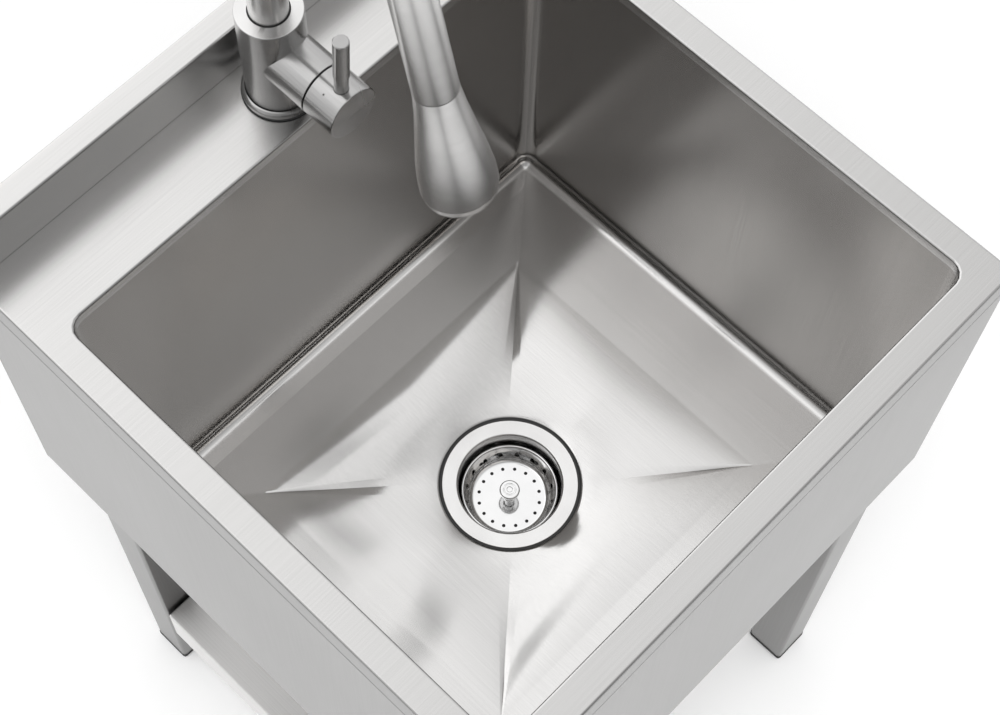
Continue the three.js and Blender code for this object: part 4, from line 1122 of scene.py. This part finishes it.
def make_handle():
    cavity = HOUSING - 2
    cap = forward(turned("handle_shell", valve, [
        (0, CAP_REAR), (HOUSING - 0.3, CAP_REAR), (HOUSING, CAP_REAR + 0.3),
        *arc(HOUSING - 0.8, CAP_REACH - 0.8, 0.8, 0, 90, 4), (0, CAP_REACH)]))
    cut_away(cap, forward(turned("hollow", valve, [
        (0, CAP_REAR - 1), (CAP_MOUTH, CAP_REAR - 1), (CAP_MOUTH, CAP_REAR),
        (cavity, CAP_REAR + 3.2), (cavity, 63.5), (0, 63.5)])))
    cut_away(cap, forward(rod("stem_bore", valve, 4.8, 60, 72.5)))
    foot = valve - Vector((0, LEVER_REACH * MM, 0))
    hole = rod("lever_hole", foot, LEVER_NECK + 0.3, 13.7, 42)
    cut_away(cap, turn_piece(hole, foot, "X", LEVER_LEAN))
    grub_foot = valve - Vector((0, GRUB_REACH * MM, 0))
    cut_away(cap, rod("grub_hole", grub_foot, 2.7, -42, -4.5))
    dot = valve + Vector((DOT_ASIDE * MM, -DOT_REACH * MM, 0))
    cut_away(cap, rod("dot_hole", dot, 0.7, 16, 24, 16))
    finished(cap, "handle_cap", satin_steel, 30, turned_on=valve, axis=(0, -1, 0))

    neck_top = 38.0
    lever = turned("lever_rod", foot, [
        (0, 14), (LEVER_NECK, 14), (LEVER_NECK, neck_top - 0.2), (LEVER - 0.25, neck_top),
        (LEVER, neck_top + 0.3), *arc(LEVER - 0.9, LEVER_TOP - 0.9, 0.9, 0, 90, 5),
        (0, LEVER_TOP)], SMALL_ROUND)
    finished(turn_piece(lever, foot, "X", LEVER_LEAN), "lever_pin", satin_steel, turned_on=foot)

    grub = rod("grub_screw", grub_foot, 2.4, -19, -4.8)
    cut_away(grub, rod("grub_socket", grub_foot, 1.2, -25, -16.5, 6))
    finished(grub, "handle_screw", plain_steel)


# ---- Spout and spray head ----

ARCH_CENTRE = 329.5
ARCH = 62.0
SPOUT_LEAN = 12.5
STRAIGHT = 167.0
SPOUT_SIDES = 64
ARCH_STEPS = 48
STRAIGHT_STEPS = 12
SPOUT_GRAIN = (0.01, 0.002)    # the grain map's steps, along the spout and round it

# The spray head's skin, as pairs of depth below the dock and radius.
SPRAY_SKIN = ((0.6, 15.2), (6, 15.65), (10, 16.1), (20, 17.2), (30, 18.7), (40, 20.2), (50, 21.8),
              (60, 23.4), (70, 24.8), (80, 25.9), (88, 26.3), (94, 26.4), (98.6, 25.4))
SPRAY_HOLLOW = slice(3, 11)    # the stretch of the skin that is hollow inside
SPRAY_WALL = 2
NOZZLES = 12
NOZZLE_CIRCLE = 15


def spout_path():
    """(y, z, turn) in millimetres along the spout's middle line, from its foot to the dock."""
    sweep = math.pi - math.radians(SPOUT_LEAN)
    rise = ARCH_CENTRE - SPOUT_FOOT
    path = [(0.0, SPOUT_FOOT + rise * i / STRAIGHT_STEPS, 0.0) for i in range(STRAIGHT_STEPS)]
    for i in range(ARCH_STEPS + 1):
        a = sweep * i / ARCH_STEPS
        path.append((-ARCH * (1 - math.cos(a)), ARCH_CENTRE + ARCH * math.sin(a), a))
    y, z, a = path[-1]
    for i in range(1, STRAIGHT_STEPS + 1):
        run = STRAIGHT * i / STRAIGHT_STEPS
        path.append((y - run * math.cos(a - math.pi / 2), z - run * math.sin(a - math.pi / 2), a))
    return path


def make_spout():
    path = spout_path()
    lengths = [0.0]
    for (y0, z0, _), (y1, z1, _) in zip(path, path[1:]):
        lengths.append(lengths[-1] + math.hypot(y1 - y0, z1 - z0))

    def ring(i, inset):
        y, z, turn = path[i]
        swell = (SPOUT_END - SPOUT) * max(0, 2 * lengths[i] / lengths[-1] - 1)
        radius = SPOUT + swell - inset
        points = []
        for k in range(SPOUT_SIDES):
            a = 2 * math.pi * k / SPOUT_SIDES
            across = radius * math.sin(a)
            place = (radius * math.cos(a), y + across * math.cos(turn), z + across * math.sin(turn))
            points.append(tap + Vector(place) * MM)
        return points

    order = range(len(path))
    rings = [ring(i, 0) for i in order] + [ring(i, SPOUT_WALL) for i in reversed(order)]
    arch = finished(sheet_of_rings("spout_arch", rings, closed=True), "spout_tube", spout_steel)
    grain = arch.data.uv_layers.new(name=GRAIN_MAP)
    along, across = SPOUT_GRAIN
    for face in arch.data.polygons:
        corners = [arch.data.loops[loop].vertex_index for loop in face.loop_indices]
        last = max(k % SPOUT_SIDES for k in corners) == SPOUT_SIDES - 1
        for loop, corner in zip(face.loop_indices, corners):
            step = corner % SPOUT_SIDES
            if last and step == 0:
                step = SPOUT_SIDES
            grain.data[loop].uv = (along * (corner // SPOUT_SIDES), across * step)


def make_spray():
    y, z, _ = spout_path()[-1]
    dock = tap + Vector((0, y, z)) * MM

    def hang(piece):
        return turn_piece(piece, dock, "X", -SPOUT_LEAN)

    skin = [(r, -h) for h, r in SPRAY_SKIN]
    inside = [(r - SPRAY_WALL, -h) for h, r in SPRAY_SKIN[SPRAY_HOLLOW]][::-1]
    head = turned("spray_bell", dock, [
        (6.8, -0.6), (14.6, -0.6), *skin, *arc(24.6, -99.2, 0.8, 0, -90, 4), (23.4, -100),
        (23.4, -90), *inside, (6.8, -16)])
    bell_axis = Vector((0, 0, 1))
    bell_axis.rotate(Matrix.Rotation(math.radians(-SPOUT_LEAN), 3, "X"))
    finished(hang(head), "spray_head", head_steel, 10, turned_on=dock, axis=bell_axis)

    top, bottom = -94.3, -98.3
    face = turned("spray_plate", dock, [
        (0, top), (23.1, top), (23.1, bottom + 0.6), (22.5, bottom), (19.5, bottom),
        (19.2, bottom + 0.5), (11.2, bottom + 0.5), (10.9, bottom), (8.2, bottom),
        (7.6, bottom + 1.6), (0, bottom + 1.6)])
    nozzle = turned("nozzle", dock, [
        (0, bottom + 1.4), (1.6, bottom + 1.4), (1.2, bottom - 1.2), (0.9, bottom - 1.4),
        (0.5, bottom - 1.4), (0.4, bottom - 0.4), (0, bottom - 0.4)], 16)
    shift(nozzle, Vector((NOZZLE_CIRCLE * MM, 0, 0)))
    face = join_all([face, around(nozzle, dock, NOZZLES)])
    finished(hang(face), "spray_face", black_rubber)

    finished(hang(turned("dock_ring", dock, [
        (7.1, 0.3), (12.9, 0.3), (13.1, 0.6), (13.1, 11.6), (12.7, 12), (8, 12), (7.1, 11)])),
        "dock_collar", black_plastic)
    finished(hang(turned("hose_stub", dock, [
        (4.5, -15.7), (6.5, -15.7), *thread(6.5, -15, 81, 1.6, 0.35), (6.5, 82), (4.5, 82)],
        SMALL_ROUND)), "spray_hose", grey_plastic, 50)


# ---- Assembly ----

add_camera()
add_floor()
add_world()
add_key_lamp()
bpy.context.scene.view_settings.view_transform = "Standard"
make_top()
make_bowl()
make_stand()
make_fasteners()
make_strainer()
make_basket()
make_tap_body()
make_tap_fixing()
make_valve()
make_handle()
make_spout()
make_spray()

materials_by_slot = {
    "deck_steel": deck_steel, "bowl_steel": shaded_wall_steel, "apron_steel": apron_steel,
    "plain_steel": plain_steel, "satin_steel": satin_steel, "polished_steel": bright_steel,
    "black_plastic": black_plastic, "black_rubber": black_rubber, "grey_plastic": grey_plastic,
    "white_plastic": white_plastic,
}
for name, node in frame["nodes"].items():
    node.data.materials.clear()
    node.data.materials.append(materials_by_slot[slot_of(name)])
